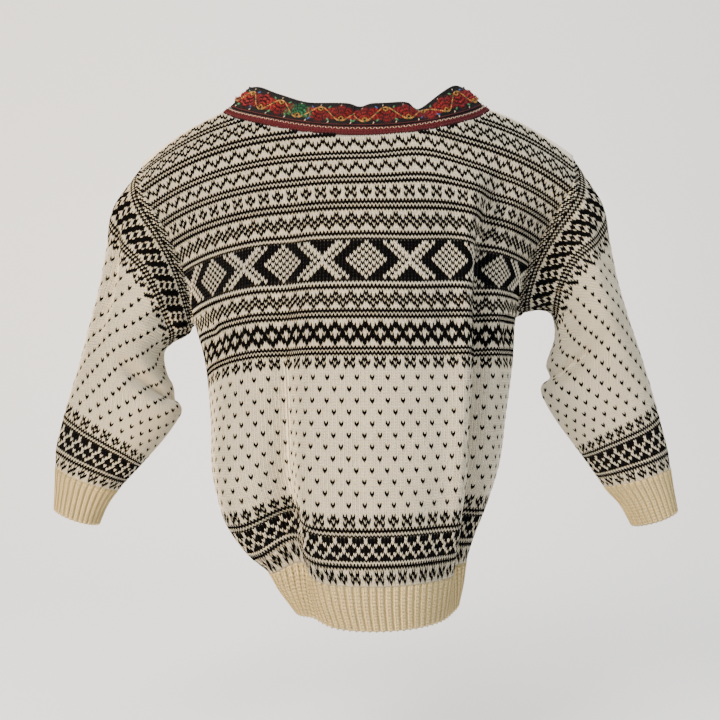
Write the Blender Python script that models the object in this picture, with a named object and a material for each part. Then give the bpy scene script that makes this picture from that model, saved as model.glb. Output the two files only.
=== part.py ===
"""A child's knitted cardigan in the old Norwegian two-colour manner, seen from behind.

The garment is filled out and hangs from the wearer's shoulders. It is modelled in
metres with +Z up. +X is the wearer's right, +Y the wearer's front, and the origin is
the middle of the base of the neck, where the wearer's shoulders carry it.
The tables below are in millimetres, as a knitter would measure the cloth.
"""

import math

import bmesh
import bpy
import numpy as np

MM = 0.001

# The cloth
WALL = 2.6              # thickness of the two-colour knit
BRAID_WALL = 2.2        # the woven braid of the neck and the front edges
RIBBON_WALL = 1.6       # the embroidered ribbon
SEAM_GAP = 0.3          # left between neighbouring pieces at a seam
RIB_RAISE = 1.4         # how far a rib stands out of the plain wall
RIB_START = 0.35        # share of that height where the ribs meet the panel
HEM_RIBS_BACK = 46
HEM_RIBS_FRONT = 23     # on each front
CUFF_RIBS = 30

# Heights are measured along the cloth, up from the top of the hem rib
HEM_EDGE = -44.0
UNDERARM = 250.0
SHOULDER = 478.0
NECK_POINT = 0.58       # share of the half width at which the neck meets the shoulder seam
BACK_NECK_DROP = 56.0
FRONT_NECK_DROP = 112.0
BACK_NECK_SHAPE = (2.2, 0.8)    # the powers that round the neck edges
FRONT_NECK_SHAPE = (2.4, 0.7)
FRONT_EDGE = 0.040      # share of the half width at which the front's knitting ends
FRONT_CENTRE = 0.0023   # and at which its binding braid ends
ARMHOLE_RISE = 26.0     # the armhole widens over this height above the underarm
ARMHOLE_FALL = 30.0     # and closes over this height below the shoulder
SAG_POWER = 2.6         # how late a knit row starts to fall towards the side

# Cross sections of the back, from the hem's edge to the shoulder seam:
# the middle of the row, its ends on the left and right of the picture, the angle
# through which the row turns from its middle to its end, how early it slopes away,
# and how much wider the middle stitches are than the average
LEVEL_COLUMNS = ("up", "mid_x", "mid_y", "mid_z", "left_x", "left_y", "left_z",
                 "right_x", "right_y", "right_z", "turn", "bevel", "spread")
BACK_LEVELS = {
    "hem edge":    (-44, 12, -96, -494, -66, 2, -489, 98, 2, -485, 92, 1.00, 0.20),
    "rib middle":  (-20, 9, -101, -472, -79, 2, -470, 102, 2, -466, 94, 1.00, 0.26),
    "rib top":     (0, 8, -103, -452, -89, 2, -452, 105, 2, -446, 94, 1.00, 0.28),
    "welt":        (20, 6, -107, -433, -107, 2, -437, 110, 3, -429, 96, 0.95, 0.22),
    "low band":    (48, 5, -109, -405, -127, 2, -413, 121, 5, -403, 96, 0.92, 0.12),
    "blouse":      (92, 4, -109, -361, -143, 2, -368, 136, 7, -358, 96, 0.90, 0.04),
    "lice":        (150, 4, -107, -303, -147, 2, -309, 145, 8, -302, 94, 0.90, 0.00),
    "waist":       (205, 4, -105, -248, -154, 2, -252, 153, 8, -249, 90, 0.88, 0.00),
    "underarm":    (250, 5, -102, -203, -166, 6, -211, 157, 11, -206, 84, 0.86, 0.00),
    "cross band":  (320, 6, -97, -134, -179, 0, -153, 170, 6, -151, 66, 0.82, 0.00),
    "blade":       (371, 5, -88, -84, -196, -8, -114, 188, -2, -113, 54, 0.85, 0.00),
    "yoke":        (405, 2, -74, -53, -208, -15, -93, 200, -9, -93, 48, 0.90, 0.00),
    "neck":        (430, 0, -61, -30, -215, -17, -77, 209, -12, -77, 44, 1.00, 0.00),
    "shoulder":    (478, -4, -20, 16, -218, 10, -50, 214, 10, -43, 40, 1.00, 0.00),
}

# The fronts: middle of the row, and how far the front edge of the armhole stands
# before its back edge. The ends of a row are those of the back.
FRONT_COLUMNS = ("up", "mid_x", "mid_y", "mid_z", "armhole")
FRONT_LEVELS = {
    "hem edge":    (-44, 12, 96, -492, 0),
    "rib middle":  (-20, 9, 100, -470, 0),
    "rib top":     (0, 8, 102, -450, 0),
    "welt":        (20, 6, 106, -432, 0),
    "low band":    (48, 5, 108, -405, 0),
    "blouse":      (92, 4, 108, -361, 0),
    "lice":        (150, 4, 107, -304, 0),
    "waist":       (205, 4, 106, -249, 0),
    "underarm":    (250, 5, 104, -205, 0),
    "cross band":  (320, 6, 98, -137, 58),
    "blade":       (371, 5, 87, -89, 66),
    "yoke":        (405, 2, 71, -58, 62),
    "neck":        (430, 0, 52, -35, 52),
    "shoulder":    (478, -4, -20, 16, 0),
}

# Folds of the body: width, then (height, place across, depth) along the fold.
# The place is a share of the half width, negative on the left of the picture;
# a negative depth is a ridge.
BACK_FOLDS = {
    "left valley":   (17, ((-44, -0.41, 2), (0, -0.41, 14), (45, -0.40, 30), (150, -0.40, 20),
                           (250, -0.38, 9), (320, -0.36, 5), (390, -0.30, 0))),
    "left lobe":     (26, ((0, -0.68, -3), (60, -0.68, -8), (150, -0.70, -7), (230, -0.72, 0))),
    "right edge":    (13, ((-10, 0.45, 0), (45, 0.46, -5), (150, 0.47, -7), (250, 0.49, -6),
                           (340, 0.51, -4), (400, 0.54, 0))),
    "right valley":  (14, ((-44, 0.60, 1), (0, 0.60, 8), (45, 0.60, 19), (150, 0.60, 23),
                           (250, 0.62, 19), (330, 0.64, 15), (400, 0.66, 2))),
    "underarm pull": (12, ((255, -0.97, 0), (236, -0.80, 6), (205, -0.66, 0))),
    "right pull":    (12, ((252, 0.97, 0), (232, 0.84, 5), (200, 0.74, 0))),
}
FRONT_FOLDS = {
    "left valley":   (18, ((-44, -0.50, 1), (0, -0.50, 12), (60, -0.48, 24), (160, -0.47, 18),
                           (260, -0.50, 9), (350, -0.55, 0))),
    "left ridge":    (20, ((0, -0.30, -3), (70, -0.30, -6), (200, -0.32, -3), (280, -0.34, 0))),
    "right valley":  (18, ((-44, 0.56, 1), (0, 0.55, 12), (60, 0.53, 26), (160, 0.52, 20),
                           (260, 0.54, 10), (350, 0.58, 0))),
    "right ridge":   (20, ((0, 0.34, -3), (70, 0.34, -6), (200, 0.35, -3), (280, 0.36, 0))),
    "underarm pull": (12, ((255, -0.97, 0), (232, -0.82, 5), (200, -0.70, 0))),
    "right pull":    (12, ((255, 0.97, 0), (232, 0.82, 5), (200, 0.70, 0))),
}
# How far the knit rows ride up where a fold pulls on them: height, place, reach, lift
BACK_LIFTS = {
    "left valley":  (40, -0.41, 0.13, 11),
    "right lobe":   (60, 0.72, 0.20, 7),
    "right breast": (322, 0.44, 0.16, 4),
}
LIFT_HEIGHT = 75.0      # a lift dies away over this height
LIFT_STOP = 60.0        # and is gone this far below the shoulder
EDGE_FADE = 0.06        # folds die away in this share of the width at a seam
SLEEVE_FADE = 25.0      # and over this length at the armhole

# Sleeves: length down from the armhole, the outer and the inner edge as the picture
# shows them, the middle of the depth and half the depth
SLEEVE_COLUMNS = ("down", "outer_x", "outer_z", "inner_x", "inner_z", "mid_y", "half_y")
LEFT_SLEEVE = {
    "cap":        (30, -249, -91, -173, -219, 19, 39),
    "top":        (65, -257, -134, -181, -225, 20, 43),
    "upper arm":  (105, -265, -177, -191, -230, 20, 44),
    "middle":     (145, -275, -216, -200, -241, 19, 43),
    "over elbow": (185, -284, -250, -196, -264, 18, 37),
    "elbow":      (220, -296, -288, -179, -293, 18, 29),
    "forearm":    (250, -304, -315, -195, -322, 20, 28),
    "low arm":    (280, -310, -339, -222, -353, 23, 27),
    "cuff top":   (300, -311, -356, -248, -381, 25, 25),
    "cuff":       (325, -312, -379, -261, -399, 27, 23.5),
    "cuff edge":  (347, -313, -400, -269, -417, 28, 23.5),
}
RIGHT_SLEEVE = {
    "cap":        (30, 244, -86, 170, -199, 19, 39),
    "top":        (65, 253, -126, 184, -197, 20, 42),
    "upper arm":  (105, 261, -167, 197, -203, 20, 43),
    "middle":     (145, 271, -202, 199, -226, 19, 42),
    "over elbow": (185, 285, -243, 189, -254, 18, 36),
    "elbow":      (220, 297, -281, 184, -279, 18, 29),
    "forearm":    (250, 306, -312, 199, -308, 20, 28),
    "low arm":    (280, 314, -341, 229, -348, 23, 27),
    "cuff top":   (300, 317, -358, 250, -377, 25, 25),
    "cuff":       (325, 321, -381, 268, -397, 27, 23.5),
    "cuff edge":  (347, 325, -402, 280, -418, 28, 23.5),
}
CUFF_TOP = 300.0
CUFF_EDGE = 347.0
# Sleeve folds: width, then (length down, place round, depth). The place runs from the
# underarm, 0, over the back of the sleeve, 0.25, to its outer edge, 0.5, and the front.
LEFT_SLEEVE_FOLDS = {
    "cap crease":  (10, ((18, 0.42, 0), (60, 0.385, 9), (110, 0.36, 9), (165, 0.34, 2))),
    "elbow break": (11, ((165, 0.26, 0), (195, 0.17, 10), (208, 0.08, 12), (212, 0.0, 4))),
    "elbow front": (11, ((175, 0.72, 0), (200, 0.84, 8), (210, 0.93, 8), (212, 1.0, 4))),
    "inner pull":  (12, ((20, 0.10, 2), (60, 0.12, 7), (105, 0.16, 0))),
}
RIGHT_SLEEVE_FOLDS = {
    "cap crease":  (11, ((20, 0.40, 0), (70, 0.37, 5), (130, 0.35, 0))),
    "elbow break": (11, ((150, 0.30, 0), (178, 0.18, 9), (196, 0.08, 11), (200, 0.0, 4))),
    "elbow front": (11, ((165, 0.72, 0), (190, 0.84, 8), (200, 0.93, 8), (200, 1.0, 4))),
    "inner pull":  (12, ((20, 0.10, 2), (60, 0.13, 6), (110, 0.17, 0))),
}

# The trim that stands round the neck: a narrow woven braid below, an embroidered
# ribbon above. It leans in by an angle that is small behind, large over the shoulders.
NECK_BRAID_HEIGHT = 9.0
NECK_RIBBON_HEIGHT = 25.0
LEAN_PLACES = (0.0, 0.12, 0.21, 0.32, 0.5)
LEAN_ANGLES = (16.0, 26.0, 52.0, 40.0, 34.0)
# Waves of the ribbon's free edge: place round the neck (0 at the middle of the back,
# 0.5 at the front opening, negative on the left), half length, rise, inward lean
NECK_WAVES = {
    "left shoulder":   (-0.185, 0.045, 7.0, 0.0),
    "left hollow":     (-0.085, 0.030, -2.0, 2.0),
    "notch":           (0.000, 0.012, -3.0, 3.0),
    "right fold":      (0.108, 0.022, -10.0, 8.0),
    "right shoulder":  (0.175, 0.035, 8.0, -2.0),
    "left front":      (-0.330, 0.030, -2.5, 2.5),
    "right front":     (0.340, 0.030, -2.5, 2.5),
}

# Plain pewter clasps down the front, from edge to edge
CLASP_HEIGHTS = (-20, 66, 152, 238, 324)
PLATE_LENGTH = 15.0
PLATE_WIDTH = 11.0
PLATE_THICKNESS = 1.8
HOOK_LENGTH = 12.0
HOOK_WIDTH = 4.2
HOOK_THICKNESS = 1.4
PLATE_CLEARANCE = 0.45  # between the cloth and a plate
PLATE_SIDES = 14
PLATE_APART = 0.8       # from the opening to a plate's edge
HOOK_CLEARANCE = 0.8    # between the plates and the hook

# How finely the cloth is divided
ACROSS = (0.0, 0.10, 0.20, 0.30, 0.37, 0.43, 0.49, 0.54, 0.58, 0.65, 0.73, 0.82, 0.91, 1.0)
UP_BELOW = (0, 16, 38, 62, 90, 120, 150, 178, 205, 228, 250)
UP_ABOVE = (262, 285, 312, 342, 371, 398, 425, 447, 464, 478)
UP_HEM = (-44, -24, -6, 0)
DOWN = (0, 15, 30, 47, 65, 85, 105, 125, 145, 165, 182, 197, 210, 222, 236, 252, 268, 284, 300)
DOWN_CUFF = (300, 306, 326, 347)
FINE_ACROSS = 385
FINE_UP = 175
FINE_ROUND = 241
FINE_DOWN = 140
FINE_ARMHOLE = 120
HALF_TURN = 360         # points round half a sleeve ring before it is spaced evenly
WELD = 0.15             # panel points nearer than this are one point


def smooth_table(table, names, places):
    """Read the columns of a table at the given places, through a smooth curve."""
    rows = np.array(list(table.values()), float)
    knots = rows[:, 0]
    slopes = np.gradient(rows, knots, axis=0)
    cell = np.clip(np.searchsorted(knots, places, side="right") - 1, 0, len(knots) - 2)
    span = (knots[cell + 1] - knots[cell])[:, None]
    t = (np.asarray(places, float)[:, None] - knots[cell][:, None]) / span
    start = 2 * t**3 - 3 * t**2 + 1
    leave = t**3 - 2 * t**2 + t
    arrive = t**3 - t**2
    values = (start * rows[cell] + leave * span * slopes[cell]
              + (1 - start) * rows[cell + 1] + arrive * span * slopes[cell + 1])
    return {name: values[:, k] for k, name in enumerate(names)}


def row_lengths(points):
    """Length along each row of a grid of points, from its first point."""
    steps = np.linalg.norm(np.diff(points, axis=1), axis=2)
    return np.concatenate([np.zeros((len(points), 1)), np.cumsum(steps, axis=1)], axis=1)


def even_rows(points, places, spread):
    """Space each row's stitches evenly along both halves of the row."""
    half = points.shape[1] // 2
    lengths = row_lengths(points)
    result = np.empty((len(points), len(places), 3))
    for r, length in enumerate(lengths):
        share = places * (1 + spread[r] * (1 - places**2))
        left, right = length[half], length[-1] - length[half]
        target = np.where(share < 0, left * (1 + share), left + right * share)
        for axis in range(3):
            result[r, :, axis] = np.interp(target, length, points[r, :, axis])
    return result


def grid_normals(points, wrap=False):
    """Unit normals of a grid of points."""
    along = np.gradient(points, axis=0)
    if wrap:
        padded = np.concatenate([points[:, -2:-1], points, points[:, 1:2]], axis=1)
        across = np.gradient(padded, axis=1)[:, 1:-1]
    else:
        across = np.gradient(points, axis=1)
    normal = np.cross(across, along)
    return normal / np.maximum(np.linalg.norm(normal, axis=2, keepdims=True), 1e-9)


def fold_depth(folds, heights, across, scale, period=None):
    """Depth of all the folds over a grid; across is scaled to millimetres."""
    depth = np.zeros((len(heights), len(across)))
    h = heights[:, None]
    reach = scale[:, None]
    for width, path in folds.values():
        strongest = np.zeros_like(depth)
        for (h0, a0, d0), (h1, a1, d1) in zip(path[:-1], path[1:]):
            run = h1 - h0
            side = (a1 - a0) * reach
            offset = across[None, :] - a0
            if period:
                offset = (offset + period / 2) % period - period / 2
            offset = offset * reach
            t = np.clip(((h - h0) * run + offset * side) / (run**2 + side**2), 0, 1)
            gap = np.hypot(h - h0 - t * run, offset - t * side)
            part = (d0 + (d1 - d0) * t) * np.exp(-(gap / width) ** 2)
            strongest = np.where(np.abs(part) > np.abs(strongest), part, strongest)
        depth += strongest
    return depth


def body_levels(front):
    """The numbers of every fine row of the back, or of the fronts."""
    heights = np.linspace(HEM_EDGE, SHOULDER, FINE_UP)
    level = smooth_table(BACK_LEVELS, LEVEL_COLUMNS, heights)
    level["up"] = heights
    if front:
        other = smooth_table(FRONT_LEVELS, FRONT_COLUMNS, heights)
        gap = np.where(heights > UNDERARM, np.maximum(other["armhole"], 0), 0)
        rise = np.clip((heights - UNDERARM) / ARMHOLE_RISE, 0, 1)
        fall = np.clip((SHOULDER - heights) / ARMHOLE_FALL, 0, 1)
        gap = gap * np.sin(rise * math.pi / 2) * np.sin(fall * math.pi / 2)
        for name in ("mid_x", "mid_y", "mid_z"):
            level[name] = other[name]
        level["left_y"] = level["left_y"] + gap
        level["right_y"] = level["right_y"] + gap
    return level


def body_surface(front):
    """The outer face of the back or the fronts as a fine grid, rows by stitches."""
    level = body_levels(front)
    column = {name: values[:, None] for name, values in level.items()}
    t = np.linspace(-1, 1, 2 * FINE_ACROSS - 1)[None, :]
    left = t < 0
    angle = np.radians(column["turn"])
    reach = np.sin(angle * np.abs(t)) / np.sin(angle)
    fall = ((1 - np.cos(angle * np.abs(t))) / (1 - np.cos(angle))) ** column["bevel"]
    x = column["mid_x"] + (np.where(left, column["left_x"], column["right_x"]) - column["mid_x"]) * reach
    y = column["mid_y"] + (np.where(left, column["left_y"], column["right_y"]) - column["mid_y"]) * fall
    points = np.stack([x, y, column["mid_z"] + 0 * t], axis=2)
    across = np.linspace(-1, 1, FINE_ACROSS)
    points = even_rows(points, across, level["spread"])
    half_width = row_lengths(points)[:, -1] / 2
    edge_z = np.where(across < 0, column["left_z"], column["right_z"])
    points[:, :, 2] += (edge_z - column["mid_z"]) * np.abs(across) ** SAG_POWER
    if not front:
        for up, place, width, lift in BACK_LIFTS.values():
            fade = np.exp(-((column["up"] - up) / LIFT_HEIGHT) ** 2)
            fade = fade * np.clip((SHOULDER - column["up"]) / LIFT_STOP, 0, 1)
            points[:, :, 2] += lift * fade * np.exp(-((across - place) / width) ** 2)
    outward = grid_normals(points) * (-1 if front else 1)
    folds = FRONT_FOLDS if front else BACK_FOLDS
    edge_fade = np.clip((1 - np.abs(across)) / EDGE_FADE, 0, 1)[None, :]
    depth = fold_depth(folds, level["up"], across, half_width) * edge_fade
    points = points - outward * depth[:, :, None]
    return even_rows(points, across, level["spread"] * 0)


class Surface:
    """A fine grid of points that can be read at any place."""

    def __init__(self, rows, columns, points):
        self.rows, self.columns, self.points = rows, columns, points

    def at(self, row, column):
        r = np.interp(row, self.rows, np.arange(len(self.rows)))
        c = np.interp(column, self.columns, np.arange(len(self.columns)))
        r0 = np.minimum(r.astype(int), len(self.rows) - 2)
        c0 = np.minimum(c.astype(int), len(self.columns) - 2)
        fr, fc = (r - r0)[..., None], (c - c0)[..., None]
        p = self.points
        return ((p[r0, c0] * (1 - fc) + p[r0, c0 + 1] * fc) * (1 - fr)
                + (p[r0 + 1, c0] * (1 - fc) + p[r0 + 1, c0 + 1] * fc) * fr)


def even_loop(back_part, front_part, count):
    """A closed ring from its back half and its front half, each evenly divided."""
    result = []
    for part in (back_part, front_part):
        length = row_lengths(part[None])[0]
        target = np.linspace(0, length[-1], count // 2 + 1)
        result.append(np.stack([np.interp(target, length, part[:, k]) for k in range(3)], axis=1))
    return np.concatenate([result[0], result[1][1:]])


def sleeve_surface(table, folds, back, front, side):
    """The outer face of a sleeve: rings from the armhole to the edge of the cuff."""
    heights = np.linspace(UNDERARM, SHOULDER, FINE_ARMHOLE)
    edge = np.full_like(heights, side)
    armhole = even_loop(back.at(heights, edge), front.at(heights, edge)[::-1], FINE_ROUND - 1)
    rings = [armhole]
    downs = [0.0]
    angle = np.linspace(0, 2 * math.pi, 2 * HALF_TURN + 1)
    for row in table.values():
        ring = dict(zip(SLEEVE_COLUMNS, row))
        middle = np.array([ring["outer_x"] + ring["inner_x"], 2 * ring["mid_y"],
                           ring["outer_z"] + ring["inner_z"]]) / 2
        inward = np.array([ring["inner_x"] - ring["outer_x"], 0,
                           ring["inner_z"] - ring["outer_z"]]) / 2
        points = (middle + np.cos(angle)[:, None] * inward
                  - np.sin(angle)[:, None] * np.array([0, ring["half_y"], 0]))
        rings.append(even_loop(points[:HALF_TURN + 1], points[HALF_TURN:], FINE_ROUND - 1))
        downs.append(ring["down"])
    stacked = {k: (down, *ring.ravel()) for k, (down, ring) in enumerate(zip(downs, rings))}
    fine = np.linspace(0, CUFF_EDGE, FINE_DOWN)
    table_values = smooth_table(stacked, range(1 + 3 * FINE_ROUND), fine)
    points = np.stack([table_values[k] for k in range(1, 1 + 3 * FINE_ROUND)], axis=1)
    points = points.reshape(len(fine), FINE_ROUND, 3)
    round_it = np.linspace(0, 1, FINE_ROUND)
    girth = row_lengths(points)[:, -1]
    outward = grid_normals(points, wrap=True) * (-1 if side > 0 else 1)
    depth = fold_depth(folds, fine, round_it, girth, period=1.0)
    depth *= np.clip(fine / SLEEVE_FADE, 0, 1)[:, None]
    return Surface(fine, round_it, points - outward * depth[:, :, None])


def neckline(place):
    """Height of the back's neck edge at a place across."""
    share = np.clip(np.abs(place) / NECK_POINT, 0, 1)
    return SHOULDER - BACK_NECK_DROP * (1 - share**BACK_NECK_SHAPE[0]) ** BACK_NECK_SHAPE[1]


def front_neckline(place):
    """Height of the fronts' neck edge at a place across."""
    share = np.clip(np.abs(place) / NECK_POINT, 0, 1)
    return SHOULDER - FRONT_NECK_DROP * (1 - share**FRONT_NECK_SHAPE[0]) ** FRONT_NECK_SHAPE[1]


def rows_to(top, heights, places):
    """Heights of a grid's rows, the upper ones drawn in under a neck edge."""
    heights = np.array(heights, float)[:, None]
    share = np.clip((heights - UNDERARM) / (SHOULDER - UNDERARM), 0, 1)
    return np.where(heights > UNDERARM, UNDERARM + share * (top(places)[None, :] - UNDERARM),
                    heights + 0 * places[None, :])


def panel_points(surface, top, heights, places):
    """Points of a panel, rows from the bottom up and columns from left to right."""
    places = np.array(places, float)
    return surface.at(rows_to(top, heights, places), np.tile(places, (len(heights), 1)))


def neck_ring(back, front):
    """The neck edge from the left front round the back to the right front."""
    inside = [a for a in ACROSS if 0 < a < NECK_POINT]
    front_places = np.array([FRONT_CENTRE, FRONT_EDGE] + inside + [NECK_POINT])
    back_places = np.array([-a for a in reversed(inside)] + [0.0] + inside)
    left = front.at(front_neckline(front_places), -front_places)
    middle = back.at(neckline(back_places), back_places)
    right = front.at(front_neckline(front_places), front_places)[::-1]
    return np.concatenate([left, middle, right])


def ring_places(ring):
    """Place of each point of the neck ring: 0 behind, -0.5 and 0.5 at the front."""
    length = row_lengths(ring[None])[0]
    behind = np.interp(0.0, ring[len(ring) // 2 - 1:len(ring) // 2 + 2, 0],
                       length[len(ring) // 2 - 1:len(ring) // 2 + 2])
    return np.where(length < behind, (length - behind) / behind / 2,
                    (length - behind) / (length[-1] - behind) / 2)


def trim_points(ring, places, heights):
    """Points of the standing neck trim at the given heights above the neck edge."""
    middle = np.array([ring[:, 0].mean(), 0.0])
    inward = middle - ring[:, :2]
    inward /= np.linalg.norm(inward, axis=1, keepdims=True)
    lean = np.radians(np.interp(np.abs(places), LEAN_PLACES, LEAN_ANGLES))
    rows = []
    full = NECK_BRAID_HEIGHT + NECK_RIBBON_HEIGHT
    for height in heights:
        share = max(0.0, (height - NECK_BRAID_HEIGHT) / (full - NECK_BRAID_HEIGHT))
        row = ring.copy()
        row[:, :2] += inward * (height * np.sin(lean))[:, None]
        row[:, 2] += height * np.cos(lean)
        for place, reach, rise, tip in NECK_WAVES.values():
            wave = np.exp(-((places - place) / reach) ** 2) * share
            row[:, 2] += rise * wave
            row[:, :2] += inward * (tip * wave)[:, None]
        rows.append(row)
    return np.array(rows)


class Cloth:
    """All the panels as one welded surface, so that neighbours share their normals."""

    def __init__(self):
        self.points = []
        self.panels = {}

    def add(self, name, grid, flip=False, wrap=False):
        ids = np.empty(grid.shape[:2], int)
        for place in np.ndindex(*ids.shape):
            ids[place] = self.vertex(grid[place])
        self.panels[name] = (ids, flip, wrap)

    def vertex(self, point):
        if self.points:
            gap = np.linalg.norm(np.array(self.points) - point, axis=1)
            if gap.min() < WELD:
                return int(gap.argmin())
        self.points.append(np.array(point))
        return len(self.points) - 1

    def finish(self):
        """Work out the normal at every point from all the panels that meet there."""
        self.points = np.array(self.points)
        self.normals = np.zeros_like(self.points)
        for ids, flip, wrap in self.panels.values():
            if wrap:
                ids = np.concatenate([ids, ids[:, :1]], axis=1)
            a, b, c, d = ids[:-1, :-1], ids[:-1, 1:], ids[1:, 1:], ids[1:, :-1]
            p = self.points
            normal = np.cross(p[c] - p[a], p[d] - p[b]) * (-1 if flip else 1)
            for corner in (a, b, c, d):
                np.add.at(self.normals, corner, normal)
        self.normals /= np.linalg.norm(self.normals, axis=1, keepdims=True)

    def panel(self, name):
        """A panel's points, drawn in by half a seam gap at its edges, and its normals."""
        ids, flip, wrap = self.panels[name]
        grid = self.points[ids]
        drawn = grid.copy()
        ends = [((0,), (1,)), ((-1,), (-2,))]
        for edge, inner in ends:
            drawn[edge] += pull(grid[edge], grid[inner])
        if not wrap:
            for edge, inner in ends:
                drawn[:, edge[0]] += pull(grid[:, edge[0]], grid[:, inner[0]])
        return drawn, self.normals[ids], ids, flip, wrap


def pull(edge, inner):
    """The step that draws an edge in by half a seam gap."""
    step = inner - edge
    return step / np.linalg.norm(step, axis=-1, keepdims=True) * SEAM_GAP / 2


def rim(faces, edge, back_edge, ids, closing, turned):
    """Close a wall along one edge; a quad splits the same way on both sides of a seam."""
    count = len(edge)
    for c in range(count if closing else count - 1):
        n = (c + 1) % count
        if ids[c] < ids[n]:
            pair = [(edge[c], back_edge[c], back_edge[n]), (edge[c], back_edge[n], edge[n])]
        else:
            pair = [(edge[c], back_edge[c], edge[n]), (back_edge[c], back_edge[n], edge[n])]
        faces += [corners[::-1] if turned else corners for corners in pair]


def wall(name, outer, inner, ids, flip, wrap, material, collection):
    """A closed wall between an outer and an inner grid of points."""
    rows, columns = outer.shape[:2]
    mesh = bpy.data.meshes.new(name)
    bm = bmesh.new()
    out, back = [[[bm.verts.new(grid[r, c] * MM) for c in range(columns)] for r in range(rows)]
                 for grid in (outer, inner)]
    faces = []
    for c in range(columns if wrap else columns - 1):
        n = (c + 1) % columns
        for r in range(rows - 1):
            faces.append((out[r][c], out[r][n], out[r + 1][n], out[r + 1][c]))
            faces.append((back[r][c], back[r + 1][c], back[r + 1][n], back[r][n]))
    rim(faces, out[0], back[0], ids[0], wrap, False)
    rim(faces, out[-1], back[-1], ids[-1], wrap, True)
    if not wrap:
        rim(faces, [row[0] for row in out], [row[0] for row in back], ids[:, 0], False, True)
        rim(faces, [row[-1] for row in out], [row[-1] for row in back], ids[:, -1], False, False)
    for corners in faces:
        bm.faces.new(corners[::-1] if flip else corners)
    bm.to_mesh(mesh)
    bm.free()
    return add_object(name, mesh, material, collection)


def add_object(name, mesh, material, collection):
    mesh.materials.append(material)
    piece = bpy.data.objects.new(name, mesh)
    collection.objects.link(piece)
    return piece


def refine(grid, normals, count, wrap):
    """Divide a panel's columns anew, evenly and on the same flat facets."""
    if wrap:
        grid = np.concatenate([grid, grid[:, :1]], axis=1)
        normals = np.concatenate([normals, normals[:, :1]], axis=1)
    length = row_lengths(grid[-1:] if not wrap else grid[:1])[0]
    places = np.interp(np.linspace(0, length[-1], count + 1), length, np.arange(len(length)))
    if wrap:
        places = places[:-1]
    cell = np.minimum(places.astype(int), grid.shape[1] - 2)
    share = (places - cell)[None, :, None]
    return (grid[:, cell] * (1 - share) + grid[:, cell + 1] * share,
            normals[:, cell] * (1 - share) + normals[:, cell + 1] * share)


def ribbed(cloth, name, ribs, top_first, material, collection):
    """A ribbed welt: the outer points stand out in ribs over a plain inner face."""
    grid, normals, _, flip, wrap = cloth.panel(name)
    grid, normals = refine(grid, normals, 2 * ribs, wrap)
    crest = (np.arange(grid.shape[1]) % 2 == 1)[None, :, None] * RIB_RAISE
    fade = np.ones(len(grid))
    fade[0 if top_first else -1] = RIB_START
    outer = grid + normals * crest * fade[:, None, None]
    order = np.tile(np.arange(grid.shape[1]), (len(grid), 1))
    return wall(name, outer, grid - normals * WALL, order, flip, wrap, material, collection)


def surface_material(name, colour, roughness, metallic=0.0):
    material = bpy.data.materials.new(name)
    material.use_nodes = True
    shader = material.node_tree.nodes["Principled BSDF"]
    shader.inputs["Base Color"].default_value = (*colour, 1)
    shader.inputs["Roughness"].default_value = roughness
    shader.inputs["Metallic"].default_value = metallic
    return material


def frame_on(surface, height, place, clearance):
    """A placing frame on the outside of the front: across, up and outward."""
    here = surface.at(np.array([height]), np.array([place]))[0]
    beside = surface.at(np.array([height]), np.array([place + 0.01]))[0]
    above = surface.at(np.array([height + 2.0]), np.array([place]))[0]
    across = (beside - here) / np.linalg.norm(beside - here)
    outward = np.cross(above - here, across)
    outward /= np.linalg.norm(outward)
    up = np.cross(across, outward)
    return here + outward * clearance, -across, up, outward


def placed(mesh_maker, name, frame, size, material, collection):
    """Make a primitive of the given size and set it on a placing frame."""
    middle, across, up, outward = frame
    bm = bmesh.new()
    mesh_maker(bm)
    axes = np.stack([across * size[0], up * size[1], outward * size[2]], axis=1)
    for vert in bm.verts:
        vert.co = (middle + axes @ np.array(vert.co)) * MM
    mesh = bpy.data.meshes.new(name)
    bm.to_mesh(mesh)
    bm.free()
    return add_object(name, mesh, material, collection)


def disc(bm):
    bmesh.ops.create_cone(bm, cap_ends=True, segments=PLATE_SIDES, radius1=0.5, radius2=0.5, depth=1.0)


def block(bm):
    bmesh.ops.create_cube(bm, size=1.0)


def add_clasps(front, material, collection):
    """Pewter clasps: a plate on each front and a hook that bridges them."""
    half = row_lengths(front.points)[:, -1] / 2
    for number, height in enumerate(CLASP_HEIGHTS, start=1):
        width = np.interp(height, front.rows, half)
        lift = PLATE_CLEARANCE + PLATE_THICKNESS / 2
        for side, sign in (("left", -1), ("right", 1)):
            place = sign * (PLATE_LENGTH / 2 + PLATE_APART) / width
            frame = frame_on(front, height, place, lift + rib_height(height))
            placed(disc, f"clasp_{number}_{side}_plate", frame,
                   (PLATE_LENGTH, PLATE_WIDTH, PLATE_THICKNESS), material, collection)
        top = rib_height(height) + PLATE_CLEARANCE + PLATE_THICKNESS + HOOK_CLEARANCE
        frame = frame_on(front, height, 0.0, top + HOOK_THICKNESS / 2)
        placed(block, f"clasp_{number}_hook", frame,
               (HOOK_LENGTH, HOOK_WIDTH, HOOK_THICKNESS), material, collection)


def rib_height(height):
    return RIB_RAISE if height < 0 else 0.0


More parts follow.
